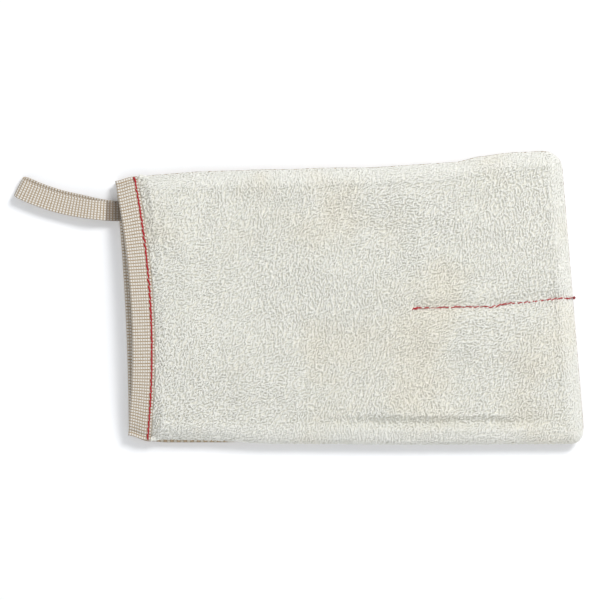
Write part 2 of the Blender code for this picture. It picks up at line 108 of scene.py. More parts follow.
class Slot(Enum):
    """Finish slots of the record."""

    TERRY = "terry"
    BACK = "woven_back"
    TAPE = "binding_tape"
    RED = "red_thread"
    WHITE = "white_thread"


class Face(Enum):
    """The two sides of the mitt, each with its own mouth edge."""

    FRONT = "front"
    BACK = "back"


def smooth(value: Number, low: float, high: float) -> Array:
    """A smooth step.

    Args:
        value: Where to read the step.
        low: Value at and below which the step is 0.
        high: Value at and above which it is 1.

    Returns:
        The height of the step, from 0 to 1.
    """
    x = np.clip((np.asarray(value, float) - low) / (high - low), 0.0, 1.0)
    return x * x * (3 - 2 * x)


def mix(first: Number, second: Number, share: Number) -> Number:
    """The number that lies this share of the way from first to second."""
    return first + (second - first) * share


def bell(offset: Number, half_width: float) -> Array:
    """A rounded ridge, 1 at no offset and 0 from half_width outwards."""
    x = np.clip(np.abs(np.asarray(offset, float)) / half_width, 0.0, 1.0)
    return (1 - x * x) ** 2


def curve_through(value: Number, stops: Sequence[tuple[float, float]]) -> Array:
    """A height that eases from each stop to the next.

    Args:
        value: Where to read the height.
        stops: Pairs of place and height, in order of place.

    Returns:
        The height at each value.
    """
    value = np.asarray(value, float)
    height = np.full(value.shape, stops[0][1])
    for (place, low), (next_place, high) in zip(stops, stops[1:]):
        height = height + (high - low) * smooth(value, place, next_place)
    return height


def unit(vectors: Array) -> Array:
    """The same vectors with a length of 1."""
    return vectors / np.maximum(np.linalg.norm(vectors, axis=-1, keepdims=True), 1e-12)


def run_along(points: Array) -> Array:
    """Distance of each point from the first, along the line through them."""
    steps = np.linalg.norm(np.diff(points, axis=0), axis=1)
    return np.concatenate([[0.0], np.cumsum(steps)])


def even_places(points: Array, places: Array, pitch: float) -> Array:
    """Places along a section that lie the same distance apart on the cloth.

    Args:
        points: Points of the section, finely spaced.
        places: The place of each of those points.
        pitch: About how far apart the even places lie.

    Returns:
        The places, each in the middle of its own stretch.
    """
    run = run_along(points)
    count = round(run[-1] / pitch)
    wanted = (np.arange(count) + 0.5) / count * run[-1]
    return np.interp(wanted, run, places)


class Bench:
    """Modelling steps that the pieces share."""

    @staticmethod
    def pick(piece: bpy.types.Object) -> None:
        """Makes this piece the only selected one, and the active one.

        Args:
            piece: The piece to work on next.
        """
        bpy.ops.object.select_all(action="DESELECT")
        piece.select_set(True)
        bpy.context.view_layer.objects.active = piece

    @staticmethod
    def grid(name: str, along: int, across: int, length: float, width: float) -> bpy.types.Object:
        """A flat grid with one corner at the origin.

        Args:
            name: Name of the piece.
            along: Number of faces along X.
            across: Number of faces along Y.
            length: Size along X.
            width: Size along Y.

        Returns:
            The grid's object.
        """
        bpy.ops.object.select_all(action="DESELECT")
        bpy.ops.mesh.primitive_grid_add(
            x_subdivisions=along, y_subdivisions=across, size=1.0, location=(0.5, 0.5, 0.0)
        )
        piece = bpy.context.object
        piece.name = name
        piece.data.name = name
        bpy.ops.object.transform_apply(location=True, rotation=True, scale=True)
        bpy.ops.object.mode_set(mode="EDIT")
        bpy.ops.mesh.select_all(action="SELECT")
        bpy.ops.transform.resize(value=(length, width, 1.0), center_override=(0.0, 0.0, 0.0))
        bpy.ops.object.mode_set(mode="OBJECT")
        return piece

    @staticmethod
    def double(piece: bpy.types.Object) -> None:
        """Gives a flat grid a second layer one unit above it, and walls round its rim.

        Args:
            piece: The flat grid.
        """
        Bench.pick(piece)
        bpy.ops.object.mode_set(mode="EDIT")
        bpy.ops.mesh.select_all(action="SELECT")
        bpy.ops.mesh.extrude_region_move(TRANSFORM_OT_translate={"value": (0.0, 0.0, 1.0)})
        bpy.ops.object.mode_set(mode="OBJECT")

    @staticmethod
    def face_outwards(piece: bpy.types.Object) -> None:
        """Turns every face of a closed piece outwards.

        Args:
            piece: The closed piece, whose faces are also shaded smooth.
        """
        Bench.pick(piece)
        bpy.ops.object.mode_set(mode="EDIT")
        bpy.ops.mesh.select_all(action="SELECT")
        bpy.ops.mesh.normals_make_consistent(inside=False)
        bpy.ops.object.mode_set(mode="OBJECT")
        bpy.ops.object.shade_smooth()

    @staticmethod
    def solidify(piece: bpy.types.Object, thickness: float) -> None:
        """Gives a sheet its thickness, half on each side.

        Args:
            piece: The sheet.
            thickness: Its full thickness.
        """
        Bench.pick(piece)
        bpy.ops.object.modifier_add(type="SOLIDIFY")
        wall = piece.modifiers[-1]
        wall.thickness = thickness
        wall.offset = 0.0
        bpy.ops.object.modifier_apply(modifier=wall.name)

    @staticmethod
    def points(piece: bpy.types.Object) -> Array:
        """The piece's points, one row each.

        Args:
            piece: The piece to read.

        Returns:
            An array of three columns, in metres.
        """
        found = np.empty(len(piece.data.vertices) * 3, np.float32)
        piece.data.vertices.foreach_get("co", found)
        return found.reshape(-1, 3).astype(float)

    @staticmethod
    def move(piece: bpy.types.Object, points: Array) -> None:
        """Puts the piece's points in new places."""
        piece.data.vertices.foreach_set("co", points.astype(np.float32).ravel())
        piece.data.update()

    @staticmethod
    def normals(piece: bpy.types.Object) -> Array:
        """The normal at each of the piece's points.

        Args:
            piece: The piece to read.

        Returns:
            An array of three columns.
        """
        found = np.empty(len(piece.data.vertices) * 3, np.float32)
        piece.data.vertex_normals.foreach_get("vector", found)
        return found.reshape(-1, 3).astype(float)

    @staticmethod
    def note(piece: bpy.types.Object, name: str, values: Array) -> None:
        """Keeps one number for each point of the piece, under this name."""
        kept = piece.data.attributes.get(name) or piece.data.attributes.new(name, "FLOAT", "POINT")
        kept.data.foreach_set("value", values.astype(np.float32))

    @staticmethod
    def read(piece: bpy.types.Object, name: str) -> Array:
        """The numbers that were kept for the piece's points under this name.

        Args:
            piece: The piece to read.
            name: The name that they were kept under.

        Returns:
            One number for each point.
        """
        found = np.empty(len(piece.data.vertices), np.float32)
        piece.data.attributes[name].data.foreach_get("value", found)
        return found

    @staticmethod
    def lay_out(piece: bpy.types.Object, along: Array, across: Array) -> None:
        """Gives the piece a map for its weave.

        Args:
            piece: The piece to map.
            along: Each point's place along the weave, in cells.
            across: Each point's place across it, in cells.
        """
        mesh = piece.data
        corner = np.empty(len(mesh.loops), np.int32)
        mesh.loops.foreach_get("vertex_index", corner)
        places = np.stack([along[corner], across[corner]], axis=1)
        while mesh.uv_layers:
            mesh.uv_layers.remove(mesh.uv_layers[0])
        layer = mesh.uv_layers.new(name=WEAVE_MAP)
        layer.uv.foreach_set("vector", places.astype(np.float32).ravel())

    @staticmethod
    def copies(name: str, master: bpy.types.Object, places: Array, axes: Array) -> bpy.types.Object:
        """One piece made of many copies of a master.

        Args:
            name: Name of the new piece.
            master: The piece to copy.
            places: Where each copy's origin goes, one row each.
            axes: The three axes of each copy, as rows, with their lengths as its scale.

        Returns:
            The new piece.
        """
        shape = Bench.points(master)
        count = len(shape)
        points = np.einsum("pk,ckd->cpd", shape, axes) + places[:, None, :]
        faces = [tuple(face.vertices) for face in master.data.polygons]
        sides = {len(face) for face in faces}
        if len(sides) == 1:
            block = np.array(faces)
            shifts = (np.arange(len(places)) * count)[:, None, None]
            every = (block[None, :, :] + shifts).reshape(-1, block.shape[1])
        else:
            every = [tuple(n * count + v for v in face) for n in range(len(places)) for face in faces]
        mesh = bpy.data.meshes.new(name)
        mesh.from_pydata(points.reshape(-1, 3), [], every)
        piece = bpy.data.objects.new(name, mesh)
        bpy.context.scene.collection.objects.link(piece)
        Bench.pick(piece)
        bpy.ops.object.shade_smooth()
        return piece

    @staticmethod
    def join(name: str, pieces: Sequence[bpy.types.Object]) -> bpy.types.Object:
        """Joins pieces into one with this name.

        Args:
            name: Name of the joined piece.
            pieces: What is joined. The first is the one that stays.

        Returns:
            The joined piece.
        """
        bpy.ops.object.select_all(action="DESELECT")
        for piece in pieces:
            piece.select_set(True)
        bpy.context.view_layer.objects.active = pieces[0]
        if len(pieces) > 1:
            bpy.ops.object.join()
        pieces[0].name = name
        pieces[0].data.name = name
        return pieces[0]

    @staticmethod
    def dress(piece: bpy.types.Object, material: bpy.types.Material, slot: Slot) -> None:
        """Gives the piece its only material and logs its finish slot.

        Args:
            piece: The piece.
            material: Its material.
            slot: The finish slot that the material stands for.
        """
        piece.data.materials.clear()
        piece.data.materials.append(material)
        log.info("%s: %d faces, %s", piece.name, len(piece.data.polygons), slot.value)


class Term:
    """A number in a material. Arithmetic on it adds the Math nodes that work it out."""

    def __init__(self, surface: "Surface", socket: bpy.types.NodeSocket) -> None:
        """Wraps a socket of the surface's node tree."""
        self.surface = surface
        self.socket = socket

    def _math(self, operation: str, first: "Operand", second: "Operand" = 0.0) -> "Term":
        """The result of one Math node on two numbers or terms."""
        node = self.surface.add("ShaderNodeMath", {"operation": operation}, {0: first, 1: second})
        return Term(self.surface, node.outputs[0])

    def __add__(self, other: "Operand") -> "Term":
        """The sum of the two."""
        return self._math("ADD", self, other)

    __radd__ = __add__

    def __sub__(self, other: "Operand") -> "Term":
        """This less the other."""
        return self._math("SUBTRACT", self, other)

    def __rsub__(self, other: "Operand") -> "Term":
        """The other less this."""
        return self._math("SUBTRACT", other, self)

    def __mul__(self, other: "Operand") -> "Term":
        """The product of the two."""
        return self._math("MULTIPLY", self, other)

    __rmul__ = __mul__

    def fraction(self) -> "Term":
        """What is left above the whole number below."""
        return self._math("FRACT", self)

    def floor(self) -> "Term":
        """The whole number below."""
        return self._math("FLOOR", self)

    def size(self) -> "Term":
        """The number without its sign."""
        return self._math("ABSOLUTE", self)

    def wave(self) -> "Term":
        """The sine of half a turn times this: 0 at 0 and 1, and 1 midway."""
        return self._math("SINE", self * pi)

    def step(self, low: float, high: float) -> "Term":
        """A smooth step from 0 at low to 1 at high.

        Args:
            low: Value at and below which the step is 0.
            high: Value at and above which it is 1.

        Returns:
            The height of the step.
        """
        node = self.surface.add(
            "ShaderNodeMapRange",
            {"interpolation_type": "SMOOTHSTEP"},
            {"Value": self, "From Min": low, "From Max": high},
        )
        return Term(self.surface, node.outputs[0])


Operand = Union[Term, float]


class Surface:
    """One material's nodes round its Principled shader."""

    specular: float = 0.2
    sheen_roughness: float = 0.6

    def __init__(self, name: str, roughness: float, sheen: float = 0.0) -> None:
        """Starts a material.

        Args:
            name: The material's name.
            roughness: Roughness, the same all over.
            sheen: Weight of the cloth sheen, the same all over.
        """
        self.material = bpy.data.materials.new(name)
        self.material.use_nodes = True
        self.tree = self.material.node_tree
        self.shader = self.tree.nodes["Principled BSDF"]
        self.shader.inputs["Roughness"].default_value = roughness
        self.shader.inputs["Specular IOR Level"].default_value = self.specular
        self.shader.inputs["Sheen Weight"].default_value = sheen
        self.shader.inputs["Sheen Roughness"].default_value = self.sheen_roughness

    def add(
        self,
        kind: str,
        settings: dict[str, object] | None = None,
        inputs: dict[int | str, object] | None = None,
    ) -> bpy.types.Node:
        """Adds any node.

        Args:
            kind: The node's type.
            settings: Its settings, set first. The key stops holds a ramp's places and colours.
            inputs: Values or links for its sockets, by name or number.

        Returns:
            The node.
        """
        node = self.tree.nodes.new(kind)
        for key, value in (settings or {}).items():
            if key == "stops":
                self._set_stops(node.color_ramp, value)
            else:
                setattr(node, key, value)
        for key, value in (inputs or {}).items():
            if isinstance(value, Term):
                self.tree.links.new(value.socket, node.inputs[key])
            elif isinstance(value, bpy.types.NodeSocket):
                self.tree.links.new(value, node.inputs[key])
            else:
                node.inputs[key].default_value = value
        return node

    @staticmethod
    def _set_stops(ramp: bpy.types.ColorRamp, stops: Iterable[tuple[float, Colour]]) -> None:
        """Gives a colour ramp these stops, each a place and a colour.

        Args:
            ramp: The colour ramp.
            stops: Pairs of place and colour, in order of place.
        """
        while len(ramp.elements) > 1:
            ramp.elements.remove(ramp.elements[-1])
        for n, (place, colour) in enumerate(stops):
            stop = ramp.elements[0] if n == 0 else ramp.elements.new(place)
            stop.position = place
            stop.color = colour

    def noted(self, name: str) -> Term:
        """The number that each point keeps under this name."""
        node = self.add("ShaderNodeAttribute", {"attribute_name": name})
        return Term(self, node.outputs["Fac"])

    def cells(self) -> tuple[Term, Term]:
        """Places along and across the weave, in cells.

        Returns:
            The place along the weave and the place across it.
        """
        place = self.add("ShaderNodeUVMap", {"uv_map": WEAVE_MAP})
        parts = self.add("ShaderNodeSeparateXYZ", {}, {0: place.outputs[0]})
        return Term(self, parts.outputs[0]), Term(self, parts.outputs[1])

    def noise(self, per_metre: float, detail: float = 2.0) -> Term:
        """Noise over the object, with this many lumps to a metre.

        Args:
            per_metre: How many lumps there are to a metre.
            detail: How many finer layers of lumps lie on them.

        Returns:
            The noise, from 0 to 1.
        """
        place = self.add("ShaderNodeTexCoord")
        node = self.add(
            "ShaderNodeTexNoise",
            {},
            {"Vector": place.outputs["Object"], "Scale": per_metre, "Detail": detail},
        )
        return Term(self, node.outputs["Fac"])

    def blend(self, factor: Operand, first: object, second: object) -> bpy.types.NodeSocket:
        """The colour that lies this share of the way from first to second."""
        node = self.add("ShaderNodeMix", {"data_type": "RGBA"}, {0: factor, 6: first, 7: second})
        return node.outputs[2]

    def finish(
        self, colour: bpy.types.NodeSocket, height: Term | None = None, depth: float = 0.0
    ) -> bpy.types.Material:
        """Links the colour and the relief.

        Args:
            colour: Socket of the base colour.
            height: Relief from 0 to 1, or None for a smooth surface.
            depth: Real depth of that relief, in metres.

        Returns:
            The finished material.
        """
        self.tree.links.new(colour, self.shader.inputs["Base Color"])
        if height is not None:
            bump = self.add("ShaderNodeBump", {}, {"Height": height, "Distance": depth, "Strength": 1.0})
            self.tree.links.new(bump.outputs[0], self.shader.inputs["Normal"])
        return self.material


@dataclass(frozen=True)
class TerryFinish:
    """Unbleached cotton pile: cream loops, each a little different, greyed by painted shade towards their
    roots.
    """

    light: Colour = (0.88, 0.87, 0.81, 1.0)
    dull: Colour = (0.82, 0.815, 0.745, 1.0)
    beige: Colour = (0.86, 0.81, 0.69, 1.0)
    # Painted shade at the loops' feet and on the ground cloth between them
    painted_root_shade: Colour = (0.81, 0.79, 0.70, 1.0)
    roughness: float = 0.9
    sheen: float = 0.25
    patches_per_metre: float = 38.0
    warm_per_metre: float = 21.0
    fibres_per_metre: float = 4200.0
    fibre_depth: float = 0.00012

    def material(self) -> bpy.types.Material:
        """The pile's material.

        Returns:
            The finished material.
        """
        surface = Surface("terry_cotton", self.roughness, self.sheen)
        patches = surface.noise(self.patches_per_metre, 3.0).step(0.3, 0.7)
        warm = surface.noise(self.warm_per_metre, 4.0).step(0.5, 0.72)
        tone = surface.noted(TONE)
        loop = surface.blend(tone * 0.7 + patches * 0.3, self.light, self.dull)
        loop = surface.blend(warm * 0.6, loop, self.beige)
        rise = surface.noted(RISE)
        # Painted shade: each loop darkens towards its foot, set by its height
        colour = surface.blend(rise.step(0.0, 0.75), self.painted_root_shade, loop)
        fibres = surface.noise(self.fibres_per_metre)
        return surface.finish(colour, fibres, self.fibre_depth)


@dataclass(frozen=True)
class TapeFinish:
    """Checked tape: cream beads of warp with dashes of tan weft between their rows, and painted shade on the
    hanging loop beside the mouth.
    """

    cream: Colour = (0.79, 0.76, 0.705, 1.0)
    tan: Colour = (0.33, 0.215, 0.095, 1.0)
    painted_shade: Colour = (0.085, 0.052, 0.03, 1.0)
    roughness: float = 0.8
    sheen: float = 0.1
    painted_shade_weight: float = 0.64
    fibres_per_metre: float = 5200.0
    fibre_height: float = 0.3
    depth: float = 0.00016

    def material(self) -> bpy.types.Material:
        """The tape's material.

        Returns:
            The finished material.
        """
        surface = Surface("checked_tape", self.roughness, self.sheen)
        along, across = surface.cells()
        row = (along.fraction() - 0.5).size() * 2.0
        column = (across.fraction() - 0.5).size() * 2.0
        line = row.step(0.45, 0.85)
        gap = column.step(0.45, 0.95)
        uneven = surface.noise(900.0, 1.0) * 0.6 + 0.65
        weft = (line * (0.95 - gap * 0.2) + gap * (1.0 - line) * 0.8) * uneven
        colour = surface.blend(weft, self.cream, self.tan)
        # Painted shade: darkens the hanging loop beside the mouth, standing in for the lip's shadow
        colour = surface.blend(surface.noted(PAINTED_SHADE) * self.painted_shade_weight, colour, self.painted_shade)
        bead = along.fraction().wave() * across.fraction().wave()
        fibres = surface.noise(self.fibres_per_metre) * self.fibre_height
        return surface.finish(colour, bead + fibres, self.depth)


@dataclass(frozen=True)
class BackFinish:
    """Coarse plain weave of tan weft over and under cream warp, with painted shade in the gaps between the
    yarns.
    """

    tan: Colour = (0.56, 0.43, 0.29, 1.0)
    cream: Colour = (0.74, 0.70, 0.60, 1.0)
    # Painted shade between the yarns
    gap: Colour = (0.32, 0.25, 0.165, 1.0)
    roughness: float = 0.85
    sheen: float = 0.1
    fibres_per_metre: float = 4200.0
    fibre_height: float = 0.3
    depth: float = 0.0003

    def material(self) -> bpy.types.Material:
        """The woven back's material.

        Returns:
            The finished material.
        """
        surface = Surface("coarse_woven_cotton", self.roughness, self.sheen)
        along, across = surface.cells()
        odd = ((along.floor() + across.floor()) * 0.5).fraction() * 2.0
        hump = along.fraction().wave() * across.fraction().wave()
        uneven = surface.noise(300.0) * 0.3
        yarn = surface.blend(odd.step(0.2, 0.8) * (1.0 - uneven), self.tan, self.cream)
        # Painted shade: the gap colour darkens the weave between the yarns' humps
        colour = surface.blend(hump.step(0.0, 0.35), self.gap, yarn)
        fibres = surface.noise(self.fibres_per_metre) * self.fibre_height
        return surface.finish(colour, hump + fibres, self.depth)


@dataclass(frozen=True)
class ThreadFinish:
    """Spun sewing thread."""

    name: str
    colour: Colour
    worn: Colour
    roughness: float = 0.55
    sheen: float = 0.15
    fibres_per_metre: float = 7000.0
    fibre_depth: float = 0.00006

    def material(self) -> bpy.types.Material:
        """The thread's material.

        Returns:
            The finished material.
        """
        surface = Surface(self.name, self.roughness, self.sheen)
        patches = surface.noise(700.0).step(0.35, 0.75)
        colour = surface.blend(patches, self.colour, self.worn)
        return surface.finish(colour, surface.noise(self.fibres_per_metre), self.fibre_depth)


@dataclass(frozen=True)
class FloorFinish:
    """Plain white paper, lit a little from below so that the shadows on it are pale."""

    colour: Colour = (0.955, 0.96, 0.97, 1.0)
    shade: Colour = (0.93, 0.93, 0.93, 1.0)
    roughness: float = 0.9
    glow: float = 0.065

    def material(self) -> bpy.types.Material:
        """The floor's material.

        Returns:
            The finished material.
        """
        surface = Surface("backlit_white_paper", self.roughness)
        surface.shader.inputs["Emission Color"].default_value = self.colour
        surface.shader.inputs["Emission Strength"].default_value = self.glow
        tint = surface.noise(30.0) * 0.02
        return surface.finish(surface.blend(tint, self.colour, self.shade))


@dataclass
class MittCut:
    """Plan and heights of the sewn mitt, placed on the frame."""

    # Plan
    centre_x: float
    centre_y: float
    length: float = 0.244
    mouth_width: float = 0.1405
    closed_width: float = 0.157
    mouth_skew: float = 0.0075
    closed_skew: float = 0.0120
    upper_radius: float = 0.010
    lower_radius: float = 0.0080

    # Allowances that the cloths had before they were sewn
    side_allowance: float = 0.005
    end_allowance: float = 0.008

    # Pocket and turned edges
    floor: float = 0.0023
    ceiling: float = 0.0086
    plateau: float = 0.0125
    rim: float = 0.00475
    rim_gap: float = 0.00015
    allowance: float = 0.0095
    allowance_slope: float = 0.0025
    seam_inset: float = 0.0045
    front_edge: float = 0.0058
    back_edge: float = 0.0026
    back_turn: float = 1.4
    roll_proud: float = 0.0003

    # Crease inside the turned edges, deep along the lower side's far half
    crease_depth: float = 0.0002
    crease_half_width: float = 0.0042
    deep_crease: float = 0.0029
    deep_crease_reach: float = 2.5
    deep_crease_start: tuple[float, float] = (0.10, 0.14)
    deep_crease_stop: tuple[float, float] = (0.195, 0.225)
    brushed_and_painted_light_band: tuple[float, float] = (0.4, 1.35)

    # Mouth
    front_lip_low: float = 0.0053
    front_lip_high: float = 0.0073
    back_lip_low: float = 0.0016
    back_lip_high: float = 0.0028
    lip_rise: float = 0.010
    arch_start: float = 0.003
    arch_power: float = 0.6
    arch_fade: float = 0.085
    lip_turn_end: float = 0.110
    front_bow: float = 0.0062
    back_bow: float = 0.0018
    bow_fade: float = 0.060
    tape_width: float = 0.0111
    tape_clearance: float = 0.0005
    puff: float = 0.0055
    stitch_inset: float = 0.0016
    stitch_dip: float = 0.0004
    stitch_dip_half_width: float = 0.0014

    # Divider seam
    divider_length: float = 0.088
    divider_start_share: float = 0.473
    divider_end_share: float = 0.4935
    divider_foot: float = 0.0013
    divider_half_width: float = 0.004
    divider_run_in: float = 0.003
    valley_half_width: float = 0.0065
    valley_depth: float = 0.0017
    valley_run_out: float = 1.2
    divider_wander: tuple[tuple[float, float], ...] = (
        (0.156, 0.0),
        (0.177, -0.0006),
        (0.199, -0.0018),
        (0.209, -0.0007),
        (0.240, 0.0),
    )

    # Gentle ripples of cloth that isn't ironed
    sway: float = 0.0005
    sway_start: float = 0.004
    sway_full: float = 0.02
    ripple_along: float = 0.0128
    ripple_across: float = 0.0104
    ripple_bends: tuple[float, float] = (0.021, 0.031)
    ripple_slants: tuple[float, float] = (0.0067, 0.011)

    # Wander of the side edges, and the shares of the width at which it sets in and fades out
    upper_wander_start: float = 0.6
    upper_wander: tuple[tuple[float, float], ...] = (
        (-0.001, 0.0004),
        (0.009, 0.0022),
        (0.022, 0.0027),
        (0.042, 0.0029),
        (0.074, 0.0019),
        (0.102, 0.0006),
        (0.145, -0.0013),
        (0.186, -0.0014),
        (0.200, 0.0007),
        (0.214, 0.0016),
        (0.244, 0.0011),
    )
    lower_wander_stop: float = 0.3
    lower_wander: tuple[tuple[float, float], ...] = (
        (-0.001, 0.0032),
        (0.009, 0.0006),
        (0.038, 0.0000),
        (0.078, -0.0019),
        (0.150, -0.0024),
        (0.244, -0.0020),
    )
    back_lower_wander: tuple[tuple[float, float], ...] = (
        (-0.001, 0.0032),
        (0.010, -0.0003),
        (0.020, -0.0008),
        (0.050, -0.0008),
        (0.075, 0.0004),
    )

    normal_step: float = 0.0002

    @classmethod
    def from_frame(cls) -> "MittCut":
        """The cut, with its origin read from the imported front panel."""
        low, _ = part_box("front_terry_panel")
        return cls(centre_x=-low.x - cls.mouth_skew / 2, centre_y=-low.y)

    @property
    def stitch_place(self) -> float:
        """Distance of the topstitching from the mouth line."""
        return self.tape_width - self.stitch_inset

    @property
    def tape_zone(self) -> float:
        """Distance from the mouth line over which the cloth is pressed flat."""
        return self.tape_width + self.tape_clearance

    @property
    def divider_start(self) -> float:
        """Distance of the divider's free end from the mouth line."""
        return self.length - self.divider_length

    @property
    def flat_size(self) -> tuple[float, float]:
        """Width and length of each cloth before it was sewn."""
        return self.closed_width + 2 * self.side_allowance, self.length + self.end_allowance

    @property
    def flat_area(self) -> float:
        """Area of each cloth before it was sewn, which narrows towards the mouth."""
        width, length = self.flat_size
        return width * length * (self.mouth_width + self.closed_width) / 2 / self.closed_width

    def width(self, s: Number) -> Number:
        """Width of the mitt at s."""
        return mix(self.mouth_width, self.closed_width, s / self.length)

    def bow(self, face: Face) -> float:
        """How far a face's mouth edge is drawn back midway."""
        return self.front_bow if face is Face.FRONT else self.back_bow

    def divider(self, s: Number) -> Number:
        """Distance of the divider seam from the lower side edge.

        Args:
            s: Distance from the mouth line.

        Returns:
            The t of the seam there.
        """
        share = (s - self.divider_start) / self.divider_length
        straight = self.width(s) * mix(self.divider_start_share, self.divider_end_share, share)
        return straight + curve_through(s, self.divider_wander)

    def side(self, s: Number, t: Number) -> Array:
        """Distance from the nearer side edge."""
        return np.minimum(t, self.width(s) - t)

    def edge(self, s: Number, t: Number) -> Array:
        """Distance from the nearest sewn edge."""
        return np.minimum(self.side(s, t), self.length - s)

    def arch(self, s: Number, t: Number) -> Array:
        """Share of the lip's rise here, 0 at the side seams and 1 midway."""
        across = 1 - (self.side(s, t) - self.arch_start) / (self.width(s) / 2 - self.arch_start)
        return np.clip(1 - np.minimum(1.0, across) ** 2, 0.0, None) ** self.arch_power

    def rounded(self, s: Array, t: Array) -> tuple[Array, Array]:
        """The place that (s, t) moves to when the two far corners are turned round.

        Args:
            s: Distance from the mouth line.
            t: Distance from the lower side edge.

        Returns:
            The s and the t of the new place.
        """
        width = self.width(s)
        upper = t > width / 2
        radius = np.where(upper, self.upper_radius, self.lower_radius)
        from_end = np.maximum(radius - (self.length - s), 0.0)
        from_side = np.maximum(radius - np.where(upper, width - t, t), 0.0)
        corner = (from_end > 0) & (from_side > 0)
        longest = np.maximum(from_end, from_side)
        scale = longest / np.maximum(np.hypot(from_end, from_side), 1e-9)
        new_s = self.length - radius + from_end * scale
        inset = radius - from_side * scale
        new_t = np.where(upper, self.width(new_s) - inset, inset)
        return np.where(corner, new_s, s), np.where(corner, new_t, t)

    def plan(self, s: Number, t: Number, face: Face) -> tuple[Array, Array]:
        """Where a place on the cloth lies, seen from above, on side edges that wander a little.

        Args:
            s: Distance from the mouth line.
            t: Distance from the lower side edge.
            face: The side of the mitt, which sets how far its mouth is drawn back.

        Returns:
            The x and y of the place.
        """
        s, t = np.broadcast_arrays(np.asarray(s, float), np.asarray(t, float))
        s, t = self.rounded(s, t)
        share = t / self.width(s)
        mouth_x = self.mouth_skew * (0.5 - share)
        closed_x = self.length + self.closed_skew * (0.5 - share)
        fade = 1 - smooth(s, self.tape_zone, self.bow_fade)
        drawn = self.bow(face) * 4 * share * (1 - share) * fade
        x = mix(mouth_x, closed_x, s / self.length) + drawn - self.centre_x
        y = t - self.centre_y
        lower = self.lower_wander if face is Face.FRONT else self.back_lower_wander
        y = y + curve_through(s, self.upper_wander) * smooth(share, self.upper_wander_start, 1.0)
        y = y + curve_through(s, lower) * (1 - smooth(share, 0.0, self.lower_wander_stop))
        return x, y

    def lifted(self, s: Number, t: Number) -> Array:
        """How far the arch of the mouth lifts the front behind it."""
        arch = self.lip_rise - (self.ceiling - self.front_lip_low)
        return arch * self.arch(s, t) * (1 - smooth(s, self.tape_zone, self.arch_fade))

    def on_divider(self, s: Number) -> Array:
        """1 along the divider seam, and 0 before its free end."""
        return smooth(s, self.divider_start - self.divider_run_in, self.divider_start + self.divider_run_in)

    def pressed(self, s: Number) -> Array:
        """0 under the tape and 1 where the cloth is at its full thickness."""
        return smooth(s, self.tape_zone, self.tape_zone + self.puff)

    def brushed_and_painted_light(self, s: Number, t: Number) -> Array:
        """1 on the rolled edges, whose pile is combed out lower and made paler by painted light, and 0 off
        them.

        Args:
            s: Distance from the mouth line.
            t: Distance from the lower side edge.

        Returns:
            The share of brushing there.
        """
        start, stop = self.brushed_and_painted_light_band
        rolled = 1 - smooth(self.edge(s, t), start * self.allowance, stop * self.allowance)
        return rolled * self.pressed(s)

    def dip(self, s: Number) -> Array:
        """How far the topstitching pulls the cloth in."""
        return self.stitch_dip * bell(s - self.stitch_place, self.stitch_dip_half_width)

    def swell(self, s: Number, t: Number) -> Array:
        """Gentle rise and fall of cloth that isn't ironed, none at the sewn edges.

        Args:
            s: Distance from the mouth line.
            t: Distance from the lower side edge.

        Returns:
            The rise there, which may be below 0.
        """
        # The added angles keep the ripples out of step with one another.
        bend_t, bend_s = self.ripple_bends
        slant, cross_slant = self.ripple_slants
        waves = np.sin(s / self.ripple_along + 1.1 + 1.3 * np.sin(t / bend_t))
        waves = waves + np.sin(t / self.ripple_across + 2.0 + s / bend_s)
        waves = waves + 0.7 * np.sin((s + t) / slant) * np.sin((s - 1.4 * t) / cross_slant)
        return self.sway * waves * smooth(self.edge(s, t), self.sway_start, self.sway_full) * self.pressed(s)

    def crease(self, s: Number, t: Number) -> Array:
        """Depth of the crease inside the turned edges, deep along the lower side's far half.

        Args:
            s: Distance from the mouth line.
            t: Distance from the lower side edge.

        Returns:
            The depth there, before the crease's own section is applied.
        """
        start = self.allowance + self.allowance_slope
        lower_side = 1 - smooth(t, start, self.deep_crease_reach * start)
        far_half = smooth(s, *self.deep_crease_start) * (1 - smooth(s, *self.deep_crease_stop))
        return mix(self.crease_depth, self.deep_crease, lower_side * far_half)

    def front_outer(self, s: Number, t: Number) -> Array:
        """Height of the terry face.

        Args:
            s: Distance from the mouth line.
            t: Distance from the lower side edge.

        Returns:
            The height above the plane that the mitt rests on.
        """
        edge = self.edge(s, t)
        turn = np.clip(edge / self.allowance, 0.0, 1.0)
        rolled = self.plateau + self.roll_proud
        body = mix(self.front_edge, rolled, np.sqrt(1 - (1 - turn) ** 2))
        crease = self.allowance + self.allowance_slope
        body = body - self.roll_proud * smooth(edge, self.allowance, crease)
        body = body - self.crease(s, t) * bell(edge - crease, self.crease_half_width)
        offset = np.abs(t - self.divider(s))
        valley = self.valley_depth * smooth(self.length - s, 0.0, self.valley_run_out * self.allowance)
        body = body - valley * (1 - smooth(offset, 0.0, self.valley_half_width)) * self.on_divider(s)
        body = body + self.lifted(s, t) + self.swell(s, t)
        lip = self.front_lip_high + self.lip_rise * self.arch(s, t) - self.dip(s)
        return mix(lip, body, self.pressed(s))

    def front_inner(self, s: Number, t: Number) -> Array:
        """Height of the terry's inner face, sewn down to the back along the divider.

        Args:
            s: Distance from the mouth line.
            t: Distance from the lower side edge.

        Returns:
            The height above the plane that the mitt rests on.
        """
        edge = self.edge(s, t)
        inside = smooth(edge, self.allowance, self.allowance + self.allowance_slope)
        body = mix(self.rim + self.rim_gap, self.ceiling, inside)
        foot = mix(self.rim + self.rim_gap, self.floor + 2 * self.rim_gap, inside)
        offset = np.abs(t - self.divider(s))
        sewn = 1 - smooth(offset, self.divider_foot, self.divider_half_width)
        body = mix(body, foot, sewn * self.on_divider(s))
        body = body + self.lifted(s, t) + self.swell(s, t) * inside * (1 - sewn)
        lip = self.front_lip_low + self.lip_rise * self.arch(s, t) + self.dip(s)
        return mix(lip, body, self.pressed(s))

